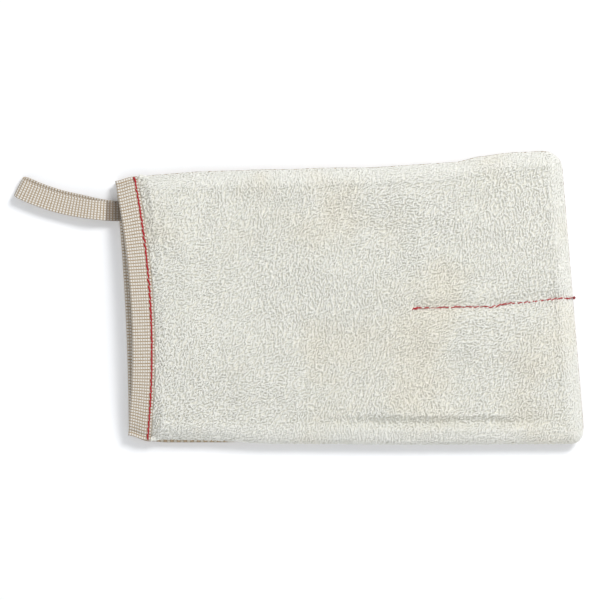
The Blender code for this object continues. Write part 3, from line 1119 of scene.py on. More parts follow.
    def back_inner(self, s: Number, t: Number) -> Array:
        """Height of the pocket's floor.

        Args:
            s: Distance from the mouth line.
            t: Distance from the lower side edge.

        Returns:
            The height above the plane that the mitt rests on.
        """
        edge = self.edge(s, t)
        inside = smooth(edge, self.allowance, self.allowance + self.allowance_slope)
        body = mix(self.rim - self.rim_gap, self.floor, inside)
        return mix(self.back_lip_high - self.dip(s), body, self.pressed(s))

    def back_outer(self, s: Number, t: Number) -> Array:
        """Height of the back's underside, flat inside its turned edges.

        Args:
            s: Distance from the mouth line.
            t: Distance from the lower side edge.

        Returns:
            The height above the plane that the mitt rests on.
        """
        turn = np.clip(self.edge(s, t) / (self.back_turn * self.seam_inset), 0.0, 1.0)
        body = self.back_edge * (1 - np.sqrt(1 - (1 - turn) ** 2))
        offset = t - self.divider(s)
        body = body + self.on_divider(s) * 2 * self.dip(self.stitch_place + offset)
        return mix(self.back_lip_low + self.dip(s), body, self.pressed(s))

    def outer(self, face: Face) -> Callable[[Number, Number], Array]:
        """The height function of a side's outside."""
        return self.front_outer if face is Face.FRONT else self.back_outer

    def inner(self, face: Face) -> Callable[[Number, Number], Array]:
        """The height function of a side's inside."""
        return self.front_inner if face is Face.FRONT else self.back_inner

    def place(self, s: Number, t: Number, face: Face, height: Number) -> Array:
        """Points at these places and heights, one row each."""
        x, y = self.plan(s, t, face)
        return np.stack(np.broadcast_arrays(x, y, height), axis=-1)

    def top(self, s: Array, t: Array) -> Array:
        """Points of the terry face's pile tops, with t held between the side edges."""
        t = np.clip(t, 0.0, self.width(s))
        return self.place(s, t, Face.FRONT, self.front_outer(s, t))

    def terry(self, s: Array, t: Array) -> tuple[Array, Array]:
        """Points of the terry face's pile tops, and the normals there.

        Args:
            s: Distance from the mouth line.
            t: Distance from the lower side edge.

        Returns:
            The points and the normals, one row for each place.
        """
        step = self.normal_step
        along = self.top(np.minimum(s + step, self.length), t) - self.top(np.maximum(s - step, 0.0), t)
        across = self.top(s, t + step) - self.top(s, t - step)
        return self.top(s, t), unit(np.cross(along, across))

    def turn_share(self, s: Number, t: Number) -> Array:
        """Share of the front lip's turn that the cloth here takes, none at the side seams."""
        return self.arch(s, t) * (1 - smooth(s, self.tape_width, self.lip_turn_end))


@dataclass(frozen=True)
class PileField:
    """A stretch of the pile that is one piece.

    It runs from one share of the mitt's length to another, on these sides of the divider: 1 above
    it, -1 below it and 0 on it.
    """

    name: str
    start: float
    stop: float
    sides: tuple[int, ...] = (-1, 0, 1)


@dataclass
class FrontCloth:
    """The terry panel: ground cloth, and four fields of pile loops that stand on it."""

    # Ground cloth
    cut: MittCut
    grid_step: float = 0.00125
    least_thickness: float = 0.0004
    # How far up the loops the ground counts, which sets how much painted shade it gets
    ground_rise: float = 0.35
    mottle_mean: float = 0.5
    mottle_swing: float = 0.3
    mottle_waves: tuple[float, float] = (2100.0, 1900.0)

    # Rows of loops
    pile_height: float = 0.0010
    root_depth: float = 0.95
    first_row: float = 0.0006
    row_pitch: float = 0.00134
    row_share: float = 0.3
    row_stagger: float = 0.5
    column_pitch: float = 0.00124
    column_share: float = 0.45
    root_jitter: float = 0.42
    seam_gap: float = 0.00045

    # One loop of yarn
    loop_half_length: float = 0.00098
    loop_rise: float = 0.00085
    loop_sink: float = 0.4
    loop_shoulder: float = 0.75
    loop_crown: float = 1.55
    loop_steps: int = 3
    yarn_radius: float = 0.00045
    curls: tuple[float, ...] = (-0.00045, 0.0, 0.00045)

    # The way the loops lie, and how far each strays from it
    flow_angle: float = radians(52)
    broad_wander: float = 0.22
    broad_lengths: tuple[float, float] = (0.021, 0.027)
    fine_wander: float = 0.18
    fine_lengths: tuple[float, float] = (0.013, 0.034)
    cling: float = 0.98
    turn_spread: float = 0.44
    lean_spread: float = 0.35
    length_range: tuple[float, float] = (0.78, 1.25)
    girth_range: tuple[float, float] = (0.85, 1.2)
    rise_range: tuple[float, float] = (0.75, 1.15)
    tone_shape: tuple[float, float] = (2.0, 3.2)
    seed: int = 7

    # What the brushed edges lose in height, and how much paler painted light makes them
    brushed_fall: float = 0.40
    painted_light_tone_fade: float = 0.85
    painted_light_rise_lift: float = 0.35

    fields: tuple[PileField, ...] = (
        PileField("wrist_pile", 0.0, 0.29),
        PileField("palm_pile", 0.29, 0.54),
        PileField("upper_finger_pile", 0.54, 1.01, (1,)),
        PileField("lower_finger_pile", 0.54, 1.01, (-1,)),
    )

    def ground(self) -> bpy.types.Object:
        """The ground cloth, closed between its two faces.

        Returns:
            The cloth, not yet dressed.
        """
        cut = self.cut
        along = round(cut.length / self.grid_step)
        across = round(cut.closed_width / self.grid_step)
        piece = Bench.grid("front_terry_cloth", along, across, cut.length, 1.0)
        Bench.double(piece)
        flat = Bench.points(piece)
        s, share, layer = flat[:, 0], flat[:, 1], flat[:, 2]
        t = share * cut.width(s)
        tops, normals = cut.terry(s, t)
        upper = tops - normals * (self.pile_height * cut.pressed(s))[:, None]
        lower = cut.place(s, t, Face.FRONT, cut.front_inner(s, t))
        lower[:, :2] = upper[:, :2]
        lower[:, 2] = np.minimum(lower[:, 2], upper[:, 2] - self.least_thickness)
        Bench.move(piece, np.where((layer > 0.5)[:, None], upper, lower))
        Bench.face_outwards(piece)
        Bench.note(piece, TURN_SHARE, cut.turn_share(s, t))
        along_wave, across_wave = self.mottle_waves
        mottle = self.mottle_swing * np.sin(s * along_wave) * np.sin(t * across_wave)
        Bench.note(piece, TONE, self.mottle_mean + mottle)
        # The ground takes part of the painted root shade, less on the rolled edges, where painted light
        # pales it
        Bench.note(piece, RISE, self.ground_rise + self.painted_light_rise_lift * cut.brushed_and_painted_light(s, t))
        return piece

    def loop_master(self, curl: float) -> bpy.types.Object:
        """One loop of yarn, an arch that leans to one side by curl.

        Args:
            curl: How far its two shoulders stand to either side.

        Returns:
            The loop as a closed mesh of a few dozen faces.
        """
        bpy.ops.object.select_all(action="DESELECT")
        bpy.ops.curve.primitive_bezier_curve_add(radius=1.0, location=(0.0, 0.0, 0.0))
        loop = bpy.context.object
        spline = loop.data.splines[0]
        half, rise = self.loop_half_length, self.loop_rise
        sink = -self.loop_sink * rise
        ends = ((-half, 0.0, sink), (half, 0.0, sink))
        for point, end, sign in zip(spline.bezier_points, ends, (1.0, -1.0)):
            point.handle_left_type = "FREE"
            point.handle_right_type = "FREE"
            inward = Vector((end[0] * self.loop_shoulder, curl * sign, rise * self.loop_crown))
            outward = Vector(end) * 2 - inward
            point.co = end
            point.handle_right = inward if sign > 0 else outward
            point.handle_left = outward if sign > 0 else inward
        loop.data.resolution_u = self.loop_steps
        loop.data.bevel_depth = self.yarn_radius
        loop.data.bevel_resolution = 0
        loop.data.use_fill_caps = True
        bpy.ops.object.convert(target="MESH")
        return bpy.context.object

    def flow(self, points: Array) -> Array:
        """The direction in which the loops lie.

        Args:
            points: Points on the cloth.

        Returns:
            An angle from +X for each point.
        """
        x, y = points[:, 0], points[:, 1]
        along, bend = self.broad_lengths
        wander = self.broad_wander * np.sin(x / along + 0.9 + 1.2 * np.sin(y / bend))
        along, bend = self.fine_lengths
        wander = wander + self.fine_wander * np.sin(y / along - x / bend + 2.2)
        return self.flow_angle + wander

    def rows(self, first: float) -> Array:
        """Where the rows of loops stand, even along the cloth.

        Args:
            first: Distance of the first row from the mouth line.

        Returns:
            The rows' distances from the mouth line.
        """
        cut = self.cut
        s = np.linspace(first, cut.length, ROW_SAMPLES)
        middle, _ = cut.terry(s, cut.width(s) * self.row_share)
        return even_places(middle, s, self.row_pitch)

    def columns(self) -> Array:
        """Where the loops of a row stand, even over the rolled edges.

        Returns:
            Shares of the width.
        """
        cut = self.cut
        shares = np.linspace(0.0, 1.0, SECTION_SAMPLES)
        s = np.full(SECTION_SAMPLES, cut.length * self.column_share)
        section, _ = cut.terry(s, shares * cut.width(s))
        return even_places(section, shares, self.column_pitch)

    def roots(self, rng: np.random.Generator) -> tuple[Array, Array]:
        """Places of all the loops on the cloth, in staggered and jittered rows.

        Args:
            rng: Source of the jitter.

        Returns:
            The s and the t of each loop.
        """
        cut = self.cut
        first = cut.tape_width + self.first_row
        rows, columns = self.rows(first), self.columns()
        s = np.repeat(rows, len(columns))
        share = np.tile(columns, len(rows))
        row_gap = np.repeat(np.gradient(rows), len(columns))
        column_gap = np.tile(np.gradient(columns), len(rows))
        odd = np.repeat(np.arange(len(rows)) % 2, len(columns))
        jitter = self.root_jitter
        share = share + (odd - 0.5) * self.row_stagger * column_gap
        share = share + rng.uniform(-jitter, jitter, len(s)) * column_gap
        s = s + rng.uniform(-jitter, jitter, len(s)) * row_gap
        s = np.clip(s, first, cut.length)
        return s, np.clip(share, 0.0, 1.0) * cut.width(s)

    def stance(self, tops: Array, normals: Array, brushed_and_painted_light: Array, rng: np.random.Generator) -> Array:
        """How each loop stands: the way it lies, its girth and its rise.

        Args:
            tops: Points of the pile's face, one for each loop.
            normals: Normals of the cloth there.
            brushed_and_painted_light: How brushed the pile is there, from 0 to 1.
            rng: Source of the differences between loops.

        Returns:
            Three axes for each loop, with their lengths as its scale.
        """
        count = len(tops)
        angle = self.flow(tops) + rng.normal(0.0, self.turn_spread, count)
        heading = np.stack([np.cos(angle), np.sin(angle), np.zeros(count)], axis=1)
        off_cloth = normals * np.sum(heading * normals, axis=1, keepdims=True)
        heading = unit(heading - off_cloth * self.cling)
        across = unit(np.cross(normals, heading))
        lean = rng.normal(0.0, self.lean_spread, count)[:, None]
        length = rng.uniform(*self.length_range, count)[:, None]
        girth = rng.uniform(*self.girth_range, count)[:, None]
        rise = (rng.uniform(*self.rise_range, count) * (1 - self.brushed_fall * brushed_and_painted_light))[:, None]
        return np.stack([heading * length, across * girth, (normals + across * lean) * rise], axis=1)

    def pile(self) -> list[bpy.types.Object]:
        """The fields of loops.

        Returns:
            One piece for each field, not yet dressed.
        """
        cut = self.cut
        rng = np.random.default_rng(self.seed)
        s, t = self.roots(rng)
        seam = (np.abs(t - cut.divider(s)) < self.seam_gap) & (s > cut.divider_start)
        s, t = s[~seam], t[~seam]
        tops, normals = cut.terry(s, t)
        brushed_and_painted_light = cut.brushed_and_painted_light(s, t)
        axes = self.stance(tops, normals, brushed_and_painted_light, rng)
        places = tops - normals * (self.pile_height * self.root_depth * cut.pressed(s))[:, None]
        # Painted light: loops on the rolled edges lean to the light tone
        tone = rng.beta(*self.tone_shape, len(s)) * (1 - self.painted_light_tone_fade * brushed_and_painted_light)
        kind = rng.integers(0, len(self.curls), len(s))
        masters = [self.loop_master(curl) for curl in self.curls]
        side = np.sign(t - cut.divider(s))
        share = s / cut.length
        made = []
        for stretch in self.fields:
            inside = (share >= stretch.start) & (share < stretch.stop) & np.isin(side, stretch.sides)
            parts = []
            for number, master in enumerate(masters):
                chosen = inside & (kind == number)
                part = Bench.copies(f"{stretch.name}_{number}", master, places[chosen], axes[chosen])
                per = len(master.data.vertices)
                height = np.tile(Bench.points(master)[:, 2] / self.loop_rise, chosen.sum())
                Bench.note(part, TONE, np.repeat(tone[chosen], per))
                # A point's height in its loop sets its painted shade, lifted on the rolled edges by painted
                # light
                Bench.note(part, RISE, height + np.repeat(self.painted_light_rise_lift * brushed_and_painted_light[chosen], per))
                Bench.note(part, TURN_SHARE, np.repeat(cut.turn_share(s[chosen], t[chosen]), per))
                parts.append(part)
            made.append(Bench.join(stretch.name, parts))
        for master in masters:
            bpy.data.objects.remove(master)
        return made

    def build(self, material: bpy.types.Material) -> list[bpy.types.Object]:
        """The panel's pieces, dressed.

        Args:
            material: The pile's material, which the ground cloth shares.

        Returns:
            The ground cloth, then the fields of loops.
        """
        ground = self.ground()
        pile = self.pile()
        for piece in [ground, *pile]:
            Bench.dress(piece, material, Slot.TERRY)
        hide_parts("front_terry_panel")
        return [ground, *pile]


@dataclass
class BackCloth:
    """The woven back."""

    cut: MittCut
    yarn_pitch: float = 0.0018
    faces_per_yarn: int = 2
    relief: float = 0.00022
    inner_share: float = 0.5
    outer_share: float = 2.0

    def build(self, material: bpy.types.Material) -> bpy.types.Object:
        """The back, closed between its two faces, with every yarn crossing raised.

        Args:
            material: The woven back's material.

        Returns:
            The cloth, dressed.
        """
        cut = self.cut
        yarns_along = round(cut.length / self.yarn_pitch)
        yarns_across = round(cut.closed_width / self.yarn_pitch)
        faces = self.faces_per_yarn
        piece = Bench.grid("back_woven_cloth", yarns_along * faces, yarns_across * faces, cut.length, 1.0)
        Bench.double(piece)
        flat = Bench.points(piece)
        s, share, layer = flat[:, 0], flat[:, 1], flat[:, 2]
        t = share * cut.width(s)
        along = s / cut.length * yarns_along
        across = share * yarns_across
        hump = self.relief * np.sin(pi * (along % 1.0)) * np.sin(pi * (across % 1.0))
        inner = cut.back_inner(s, t) + self.inner_share * hump * cut.pressed(s)
        outer = cut.back_outer(s, t) + self.outer_share * self.relief - self.outer_share * hump
        upper = cut.place(s, t, Face.BACK, inner)
        lower = cut.place(s, t, Face.BACK, outer)
        Bench.move(piece, np.where((layer > 0.5)[:, None], upper, lower))
        Bench.face_outwards(piece)
        Bench.lay_out(piece, along, across)
        Bench.dress(piece, material, Slot.BACK)
        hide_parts("back_woven_panel")
        return piece


@dataclass
class TapeWeave:
    """Weave of the tape: sizes of its cells and how far its beads stand out."""

    row_pitch: float = 0.00170
    column_pitch: float = 0.00130
    faces_per_row: int = 4
    faces_per_column: int = 3
    relief: float = 0.00012
    thickness: float = 0.0008

    def strip(self, name: str, length: float, width: float) -> tuple[bpy.types.Object, Array, Array]:
        """A flat strip with whole cells along and across.

        Args:
            name: Name of the piece.
            length: Length of the tape.
            width: Width of the tape.

        Returns:
            The strip, and each point's places along and across it, in cells.
        """
        rows = round(length / self.row_pitch)
        columns = round(width / self.column_pitch)
        piece = Bench.grid(name, rows * self.faces_per_row, columns * self.faces_per_column, length, width)
        flat = Bench.points(piece)
        return piece, flat[:, 0] / length * rows, flat[:, 1] / width * columns

    def finish(self, piece: bpy.types.Object, points: Array, along: Array, across: Array) -> None:
        """Puts the strip in place, raises its beads and gives it thickness.

        Args:
            piece: The flat strip.
            points: Where its points go, in the middle of the tape's thickness.
            along: Their places along the tape, in cells.
            across: Their places across it, in cells.
        """
        Bench.move(piece, points)
        bead = np.sin(pi * (along % 1.0)) * np.sin(pi * (across % 1.0))
        Bench.lay_out(piece, along, across)
        Bench.note(piece, BEAD, bead)
        Bench.solidify(piece, self.thickness - self.relief)
        Bench.face_outwards(piece)
        raised = self.relief * Bench.read(piece, BEAD)
        Bench.move(piece, Bench.points(piece) + Bench.normals(piece) * raised[:, None])


@dataclass
class MouthTape:
    """The tape folded over one edge of the mouth."""

    cut: MittCut
    weave: TapeWeave
    face: Face
    gap: float = 0.0003
    arch_gain: float = 2.6

    @property
    def reach(self) -> float:
        """Distance from the cloth to the middle of the tape's thickness."""
        return self.gap + self.weave.thickness / 2

    def section(self, v: Array, t: Array) -> Array:
        """Points round the fold.

        Args:
            v: Distance round the tape's section from its outer free edge.
            t: Distance from the lower side edge.

        Returns:
            One point for each pair.
        """
        cut = self.cut
        up = 1.0 if self.face is Face.FRONT else -1.0
        width = cut.tape_width
        turn = np.clip((v - width) / self.fold_run, 0.0, 1.0)
        s = np.maximum(np.maximum(width - v, v - width - self.fold_run), 0.0)
        outside = cut.outer(self.face)(s, t) + up * self.reach
        inside = cut.inner(self.face)(s, t) - up * self.reach
        height = mix(outside, inside, (1 - np.cos(pi * turn)) / 2)
        points = cut.place(s, t, self.face, height)
        points[:, 0] -= self.reach * np.sin(pi * turn)
        return points

    @property
    def fold_run(self) -> float:
        """Length of the tape's section that goes round the cloth's edge.

        Returns:
            The length.
        """
        cut = self.cut
        if self.face is Face.FRONT:
            thick = cut.front_lip_high - cut.front_lip_low
        else:
            thick = cut.back_lip_high - cut.back_lip_low
        return thick + 2 * self.reach

    @property
    def flat_size(self) -> tuple[float, float]:
        """Width and length of the tape before it was folded.

        Returns:
            The two sizes. The front tape is longer than the mouth is wide, to go over its arch.
        """
        cut = self.cut
        extra = self.arch_gain * cut.lip_rise**2 / cut.mouth_width if self.face is Face.FRONT else 0.0
        return 2 * cut.tape_width + self.fold_run, cut.mouth_width + extra

    def build(self, material: bpy.types.Material) -> bpy.types.Object:
        """The folded tape, dressed.

        Args:
            material: The tape's material.

        Returns:
            The tape.
        """
        cut = self.cut
        round_run, length = self.flat_size
        name = f"{self.face.value}_mouth_tape"
        piece, along, across = self.weave.strip(name, length, round_run)
        flat = Bench.points(piece)
        share, v = flat[:, 0] / length, flat[:, 1]
        s = np.clip(np.maximum(cut.tape_width - v, v - cut.tape_width - self.fold_run), 0.0, None)
        t = share * cut.width(s)
        points = self.section(v, t)
        Bench.note(piece, TURN_SHARE, cut.turn_share(s, t))
        self.weave.finish(piece, points, along, across)
        Bench.dress(piece, material, Slot.TAPE)
        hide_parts(f"{self.face.value}_mouth_binding")
        return piece


@dataclass
class HangingLoop:
    """The strap, folded double, with both ends sewn inside the mouth."""

    weave: TapeWeave
    hinge: Vector
    width: float = 0.0105
    reach: float = 0.0553
    turn: float = radians(27)
    eye_height: float = 0.0048
    eye_start: float = 0.014
    landing: float = 0.030
    tab_length: float = 0.008
    axis_outset: float = 0.0030
    layer_gap: float = 0.0003
    front_shift: float = 0.0005
    rear_shift: float = 0.0029
    rear_shift_start: float = -0.010
    rear_shift_end: float = 0.024
    painted_shade_end: float = 0.0046
    painted_shade_blur: float = 0.0006
    stations: int = 90
    fold_stations: int = 25

    def plan(self, along: Array, across: Array) -> tuple[Array, Array]:
        """Where a place on the strap lies, seen from above.

        Args:
            along: Distance out from the hinge, which is below 0 inside the mouth.
            across: Distance from the strap's middle line, towards +Y.

        Returns:
            The x and the y of the place.
        """
        radius = self.reach / self.turn
        turned = self.turn * np.maximum(0.0, along) / self.reach
        x = self.hinge.x - radius * np.sin(turned) - np.minimum(0.0, along)
        y = self.hinge.y + radius * (1 - np.cos(turned))
        return x + across * np.sin(turned), y + across * np.cos(turned)

    def path(self) -> Array:
        """Stations along the strap: distance out, height and share of the upper layer.

        Returns:
            One row for each station, from the lower end round the fold to the upper end.
        """
        thickness = self.weave.thickness
        half_eye = (self.eye_height + thickness) / 2
        half_tab = (thickness + self.layer_gap) / 2
        resting = half_eye + thickness / 2 + self.weave.relief
        fold = self.reach - half_eye - thickness / 2
        out = np.linspace(-(self.axis_outset + self.tab_length), fold, self.stations)
        middle = mix(self.hinge.z, resting, smooth(out, 0, self.landing))
        apart = mix(half_tab, half_eye, smooth(out, 0, self.eye_start))
        angle = np.linspace(0, pi, self.fold_stations)[1:-1]
        lower = np.stack([out, middle - apart, np.zeros(len(out))], axis=1)
        bend_out = fold + half_eye * np.sin(angle)
        bend_height = resting - half_eye * np.cos(angle)
        bend = np.stack([bend_out, bend_height, (1 - np.cos(angle)) / 2], axis=1)
        upper = np.stack([out[::-1], (middle + apart)[::-1], np.ones(len(out))], axis=1)
        return np.concatenate([lower, bend, upper])

    def build(self, material: bpy.types.Material) -> tuple[bpy.types.Object, tuple[float, float]]:
        """The strap, dressed, and its flat size.

        Args:
            material: The tape's material.

        Returns:
            The strap, and the width and length of its tape before it was folded.
        """
        stations = self.path()
        run = run_along(stations[:, :2])
        length = float(run[-1])
        piece, cells_along, cells_across = self.weave.strip("hanging_loop_tape", length, self.width)
        flat = Bench.points(piece)
        out, height, upper = (np.interp(flat[:, 0], run, stations[:, n]) for n in range(3))
        shift = mix(self.rear_shift, self.front_shift, upper)
        shift = shift * smooth(out, self.rear_shift_start, self.rear_shift_end)
        x, y = self.plan(out, flat[:, 1] - self.width / 2 + shift)
        # Painted shade on the upper layer, from inside the mouth to a few millimetres out, standing in for
        # the lip's shadow
        unshaded = smooth(out, self.painted_shade_end - self.painted_shade_blur, self.painted_shade_end + self.painted_shade_blur)
        Bench.note(piece, PAINTED_SHADE, upper * (1 - unshaded))
        self.weave.finish(piece, np.stack([x, y, height], axis=1), cells_along, cells_across)
        Bench.dress(piece, material, Slot.TAPE)
        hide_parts("hanging_loop", "loop_sewn_ends")
        return piece, (self.width, length)


@dataclass
class StitchRow:
    """A row of lockstitches in two-ply thread."""

    radius: float = 0.00056
    length: float = 0.0039
    slant: float = radians(8)
    overlap: float = 1.1
    sink: float = 0.00045
    twists: float = 2.2
    sides: int = 10
    stations: int = 9
    lobe_mean: float = 0.84
    lobe_swing: float = 0.18
    end_taper: float = 0.72
    squareness: float = 3.2

    def ply_profile(self) -> bpy.types.Object:
        """Section of a two-ply thread: two round lobes side by side.

        Returns:
            The section as a flat closed curve.
        """
        bpy.ops.object.select_all(action="DESELECT")
        bpy.ops.curve.primitive_nurbs_circle_add(radius=1.0)
        profile = bpy.context.object
        profile.data.splines.clear()
        spline = profile.data.splines.new("POLY")
        spline.points.add(self.sides - 1)
        for n, point in enumerate(spline.points):
            angle = 2 * pi * n / self.sides
            lobe = self.radius * (self.lobe_mean + self.lobe_swing * cos(2 * angle))
            point.co = (lobe * cos(angle), lobe * sin(angle), 0.0, 1.0)
        spline.use_cyclic_u = True
        return profile

    def strand(self, name: str, points: Array, turns: float) -> bpy.types.Object:
        """A twisted thread through these points.

        Args:
            name: Name of the piece.
            points: Points along its middle.
            turns: Turns that its plies make from end to end.

        Returns:
            The thread as a closed mesh.
        """
        profile = self.ply_profile()
        bpy.ops.object.select_all(action="DESELECT")
        bpy.ops.curve.primitive_nurbs_path_add(radius=1.0)
        thread = bpy.context.object
        thread.name = name
        data = thread.data
        data.splines.clear()
        spline = data.splines.new("POLY")
        spline.points.add(len(points) - 1)
        for n, (knot, point) in enumerate(zip(spline.points, points)):
            knot.co = (*point, 1.0)
            knot.tilt = 2 * pi * turns * n / (len(points) - 1)
            knot.radius = self.end_taper if n in (0, len(points) - 1) else 1.0
        data.bevel_mode = "OBJECT"
        data.bevel_object = profile
        data.use_fill_caps = True
        bpy.ops.object.convert(target="MESH")
        thread = bpy.context.object
        bpy.data.objects.remove(profile)
        Bench.face_outwards(thread)
        return thread

    def master(self) -> bpy.types.Object:
        """One stitch along +X, dipping into the cloth at both ends.

        Returns:
            The stitch as a closed mesh.
        """
        places = np.linspace(-0.5, 0.5, self.stations)
        arc = np.sqrt(np.clip(1 - (2 * np.abs(places)) ** self.squareness, 0.0, 1.0))
        depth = 2 * self.sink
        points = np.stack([places * self.length, np.zeros(self.stations), depth * arc - depth], axis=1)
        return self.strand("stitch", points, self.twists)

    def row(
        self,
        name: str,
        holes: Array,
        normals: Array,
        rng: np.random.Generator,
        unevenness: float = 0.06,
    ) -> bpy.types.Object:
        """A stitch between each needle hole and the next.

        Args:
            name: Name of the piece.
            holes: Points at the needle holes, on the cloth.
            normals: Normals of the cloth there.
            rng: Source of the small differences between stitches.
            unevenness: Spread of those differences.

        Returns:
            The row as one piece.
        """
        master = self.master()
        middle = (holes[1:] + holes[:-1]) / 2
        run = holes[1:] - holes[:-1]
        long = np.linalg.norm(run, axis=1, keepdims=True)
        up = unit(normals[1:] + normals[:-1])
        along = run / long
        side = unit(np.cross(up, along))
        tilt = self.slant + rng.normal(0.0, unevenness, len(run))[:, None]
        heading = along * np.cos(tilt) + side * np.sin(tilt)
        side = np.cross(up, heading)
        scale = long / self.length * self.overlap
        girth = 1 + rng.normal(0.0, unevenness, len(run))[:, None]
        axes = np.stack([heading * scale, side * girth, up * girth], axis=1)
        drop = rng.normal(0.0, unevenness * self.radius, len(run))[:, None]
        piece = Bench.copies(name, master, middle + up * drop, axes)
        bpy.data.objects.remove(master)
        return piece


@dataclass
class Stitching:
    """All the thread in the mitt."""

    # What it is sewn into, and the thread of each row
    cut: MittCut
    tape: TapeWeave
    red: bpy.types.Material
    white: bpy.types.Material
    needle: StitchRow = field(default_factory=StitchRow)
    divider: StitchRow = field(default_factory=lambda: StitchRow(radius=0.00037, length=0.0030))
    bobbin: StitchRow = field(default_factory=lambda: StitchRow(radius=0.00025, sink=0.0003, slant=0.0))

    # Topstitching
    end_inset: float = 0.0001
    bobbin_end_inset: float = 0.0062
    gap: float = 0.0003
    seat: float = 0.55
    topstitch_seed: int = 29

    # Divider, with the back-tacks at its free end
    divider_stop: float = 0.0006
    divider_waver: float = 0.00012
    divider_depth: float = 0.00018
    divider_depth_spread: float = 0.00024
    divider_unevenness: float = 0.14
    divider_seed: int = 69
    underside_seat: float = 0.5
    underside_seed: int = 115
    tacks: int = 2
    tack_step: float = 0.0009
    tack_length: float = 0.0034
    tack_gap: float = 0.0006
    tack_depth: float = 0.0002

    # Knotted tail at the divider's far end
    tail_stations: int = 14
    tail_radius: float = 0.0006
    tail_narrowing: float = 0.6
    tail_sweep: float = 11.0
    tail_outset: float = 0.0004
    tail_height: float = 0.0007
    tail_sink: float = 0.0001
    tail_twists: float = 4.0

    # Closing seam, and the stitches across the hanging loop's ends
    seam_radius: float = 0.0003
    seam_twists: float = 300.0
    seam_stations: tuple[int, int] = (60, 40)
    loop_tack_holes: int = 5
    loop_tack_inset: float = 0.002
    loop_tack_seed: int = 161

    def across_mouth(self, face: Face, outside: bool) -> bpy.types.Object:
        """One topstitch row across the mouth.

        Args:
            face: The side of the mitt.
            outside: Whether it is the needle thread, outside, or the bobbin thread inside.

        Returns:
            The row.
        """
        cut = self.cut
        kind = "needle" if outside else "bobbin"
        maker = self.needle if outside and face is Face.FRONT else self.bobbin
        up = 1.0 if (face is Face.FRONT) == outside else -1.0
        surface = cut.outer(face) if outside else cut.inner(face)
        s = cut.stitch_place
        inset = self.end_inset if outside else self.bobbin_end_inset
        span = float(cut.width(s)) - 2 * inset
        reach = self.gap + self.tape.thickness + maker.radius * self.seat
        places = inset + np.linspace(0.0, 1.0, ROW_SAMPLES) * span
        points = cut.place(s, places, face, surface(s, places) + up * reach)
        run = run_along(points)
        wanted = np.linspace(0.0, run[-1], round(run[-1] / maker.length) + 1)
        holes = np.stack([np.interp(wanted, run, points[:, n]) for n in range(3)], axis=1)
        t = np.interp(wanted, run, places)
        forward = unit(np.gradient(holes, axis=0))
        sideways = np.tile([1.0, 0.0, 0.0], (len(holes), 1))
        normals = unit(np.cross(sideways, forward)) * up
        rng = np.random.default_rng(self.topstitch_seed + (face is Face.BACK))
        piece = maker.row(f"{face.value}_topstitch_{kind}_stitches", holes, normals, rng)
        per = len(piece.data.vertices) // (len(holes) - 1)
        Bench.note(piece, TURN_SHARE, np.repeat(cut.turn_share(s, (t[1:] + t[:-1]) / 2), per))
        Bench.dress(piece, self.red, Slot.RED)
        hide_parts(f"{face.value}_topstitch_{kind}_thread")
        return piece

    def divider_needle(self) -> bpy.types.Object:
        """The divider's stitches in the pile, the back-tack at its start and the cut tail at its end.

        Returns:
            The thread, dressed.
        """
        cut = self.cut
        rng = np.random.default_rng(self.divider_seed)
        maker = self.divider
        stop = cut.length - self.divider_stop
        count = round((stop - cut.divider_start) / maker.length)
        s = np.linspace(cut.divider_start, stop, count + 1)
        t = cut.divider(s) + rng.normal(0.0, self.divider_waver, len(s))
        holes, normals = cut.terry(s, t)
        depth = self.divider_depth + np.abs(rng.normal(0.0, self.divider_depth_spread, len(s)))
        holes = holes - normals * depth[:, None]
        parts = [maker.row("divider_row", holes, normals, rng, self.divider_unevenness)]
        for n in range(self.tacks):
            start = cut.divider_start + self.tack_step * n
            tack_s = np.array([start, start + self.tack_length])
            tack_t = cut.divider(tack_s) + (n - 0.5) * self.tack_gap
            tack, up = cut.terry(tack_s, tack_t)
            parts.append(maker.row(f"tack_{n}", tack - up * self.tack_depth, up, rng))
        parts.append(self.tail(stop))
        piece = Bench.join("divider_needle_stitches", parts)
        Bench.dress(piece, self.red, Slot.RED)
        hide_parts("divider_needle_thread")
        return piece

    def tail(self, stop: float) -> bpy.types.Object:
        """The knotted tail where the divider runs off the closed end.

        Args:
            stop: Distance of the divider's last hole from the mouth line.

        Returns:
            The tail, to be joined to the divider's stitches.
        """
        foot, up = self.cut.terry(np.array([stop]), np.array([self.cut.divider(stop)]))
        n = np.linspace(0.0, 1.0, self.tail_stations)
        curl = self.tail_radius * (1 - self.tail_narrowing * n)
        x = curl * np.sin(n * self.tail_sweep) + self.tail_outset
        y = curl * np.cos(n * self.tail_sweep)
        points = np.stack([x, y, self.tail_height * n - self.tail_sink], axis=1)
        return self.needle.strand("tail", foot[0] + up[0] * self.tack_depth + points, self.tail_twists)

    def divider_bobbin(self) -> bpy.types.Object:
        """The divider's stitches on the underside.

        Returns:
            The thread, dressed.
        """
        cut = self.cut
        count = round((cut.divider_length - cut.allowance) / self.bobbin.length)
        s = np.linspace(cut.divider_start, cut.length - cut.allowance, count + 1)
        t = cut.divider(s)
        sunk = self.bobbin.radius * self.underside_seat
        holes = cut.place(s, t, Face.BACK, cut.back_outer(s, t) + sunk)
        normals = np.tile([0.0, 0.0, -1.0], (len(s), 1))
        rng = np.random.default_rng(self.underside_seed)
        piece = self.bobbin.row("divider_bobbin_stitches", holes, normals, rng)
        Bench.dress(piece, self.red, Slot.RED)
        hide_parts("divider_bobbin_thread")
        return piece

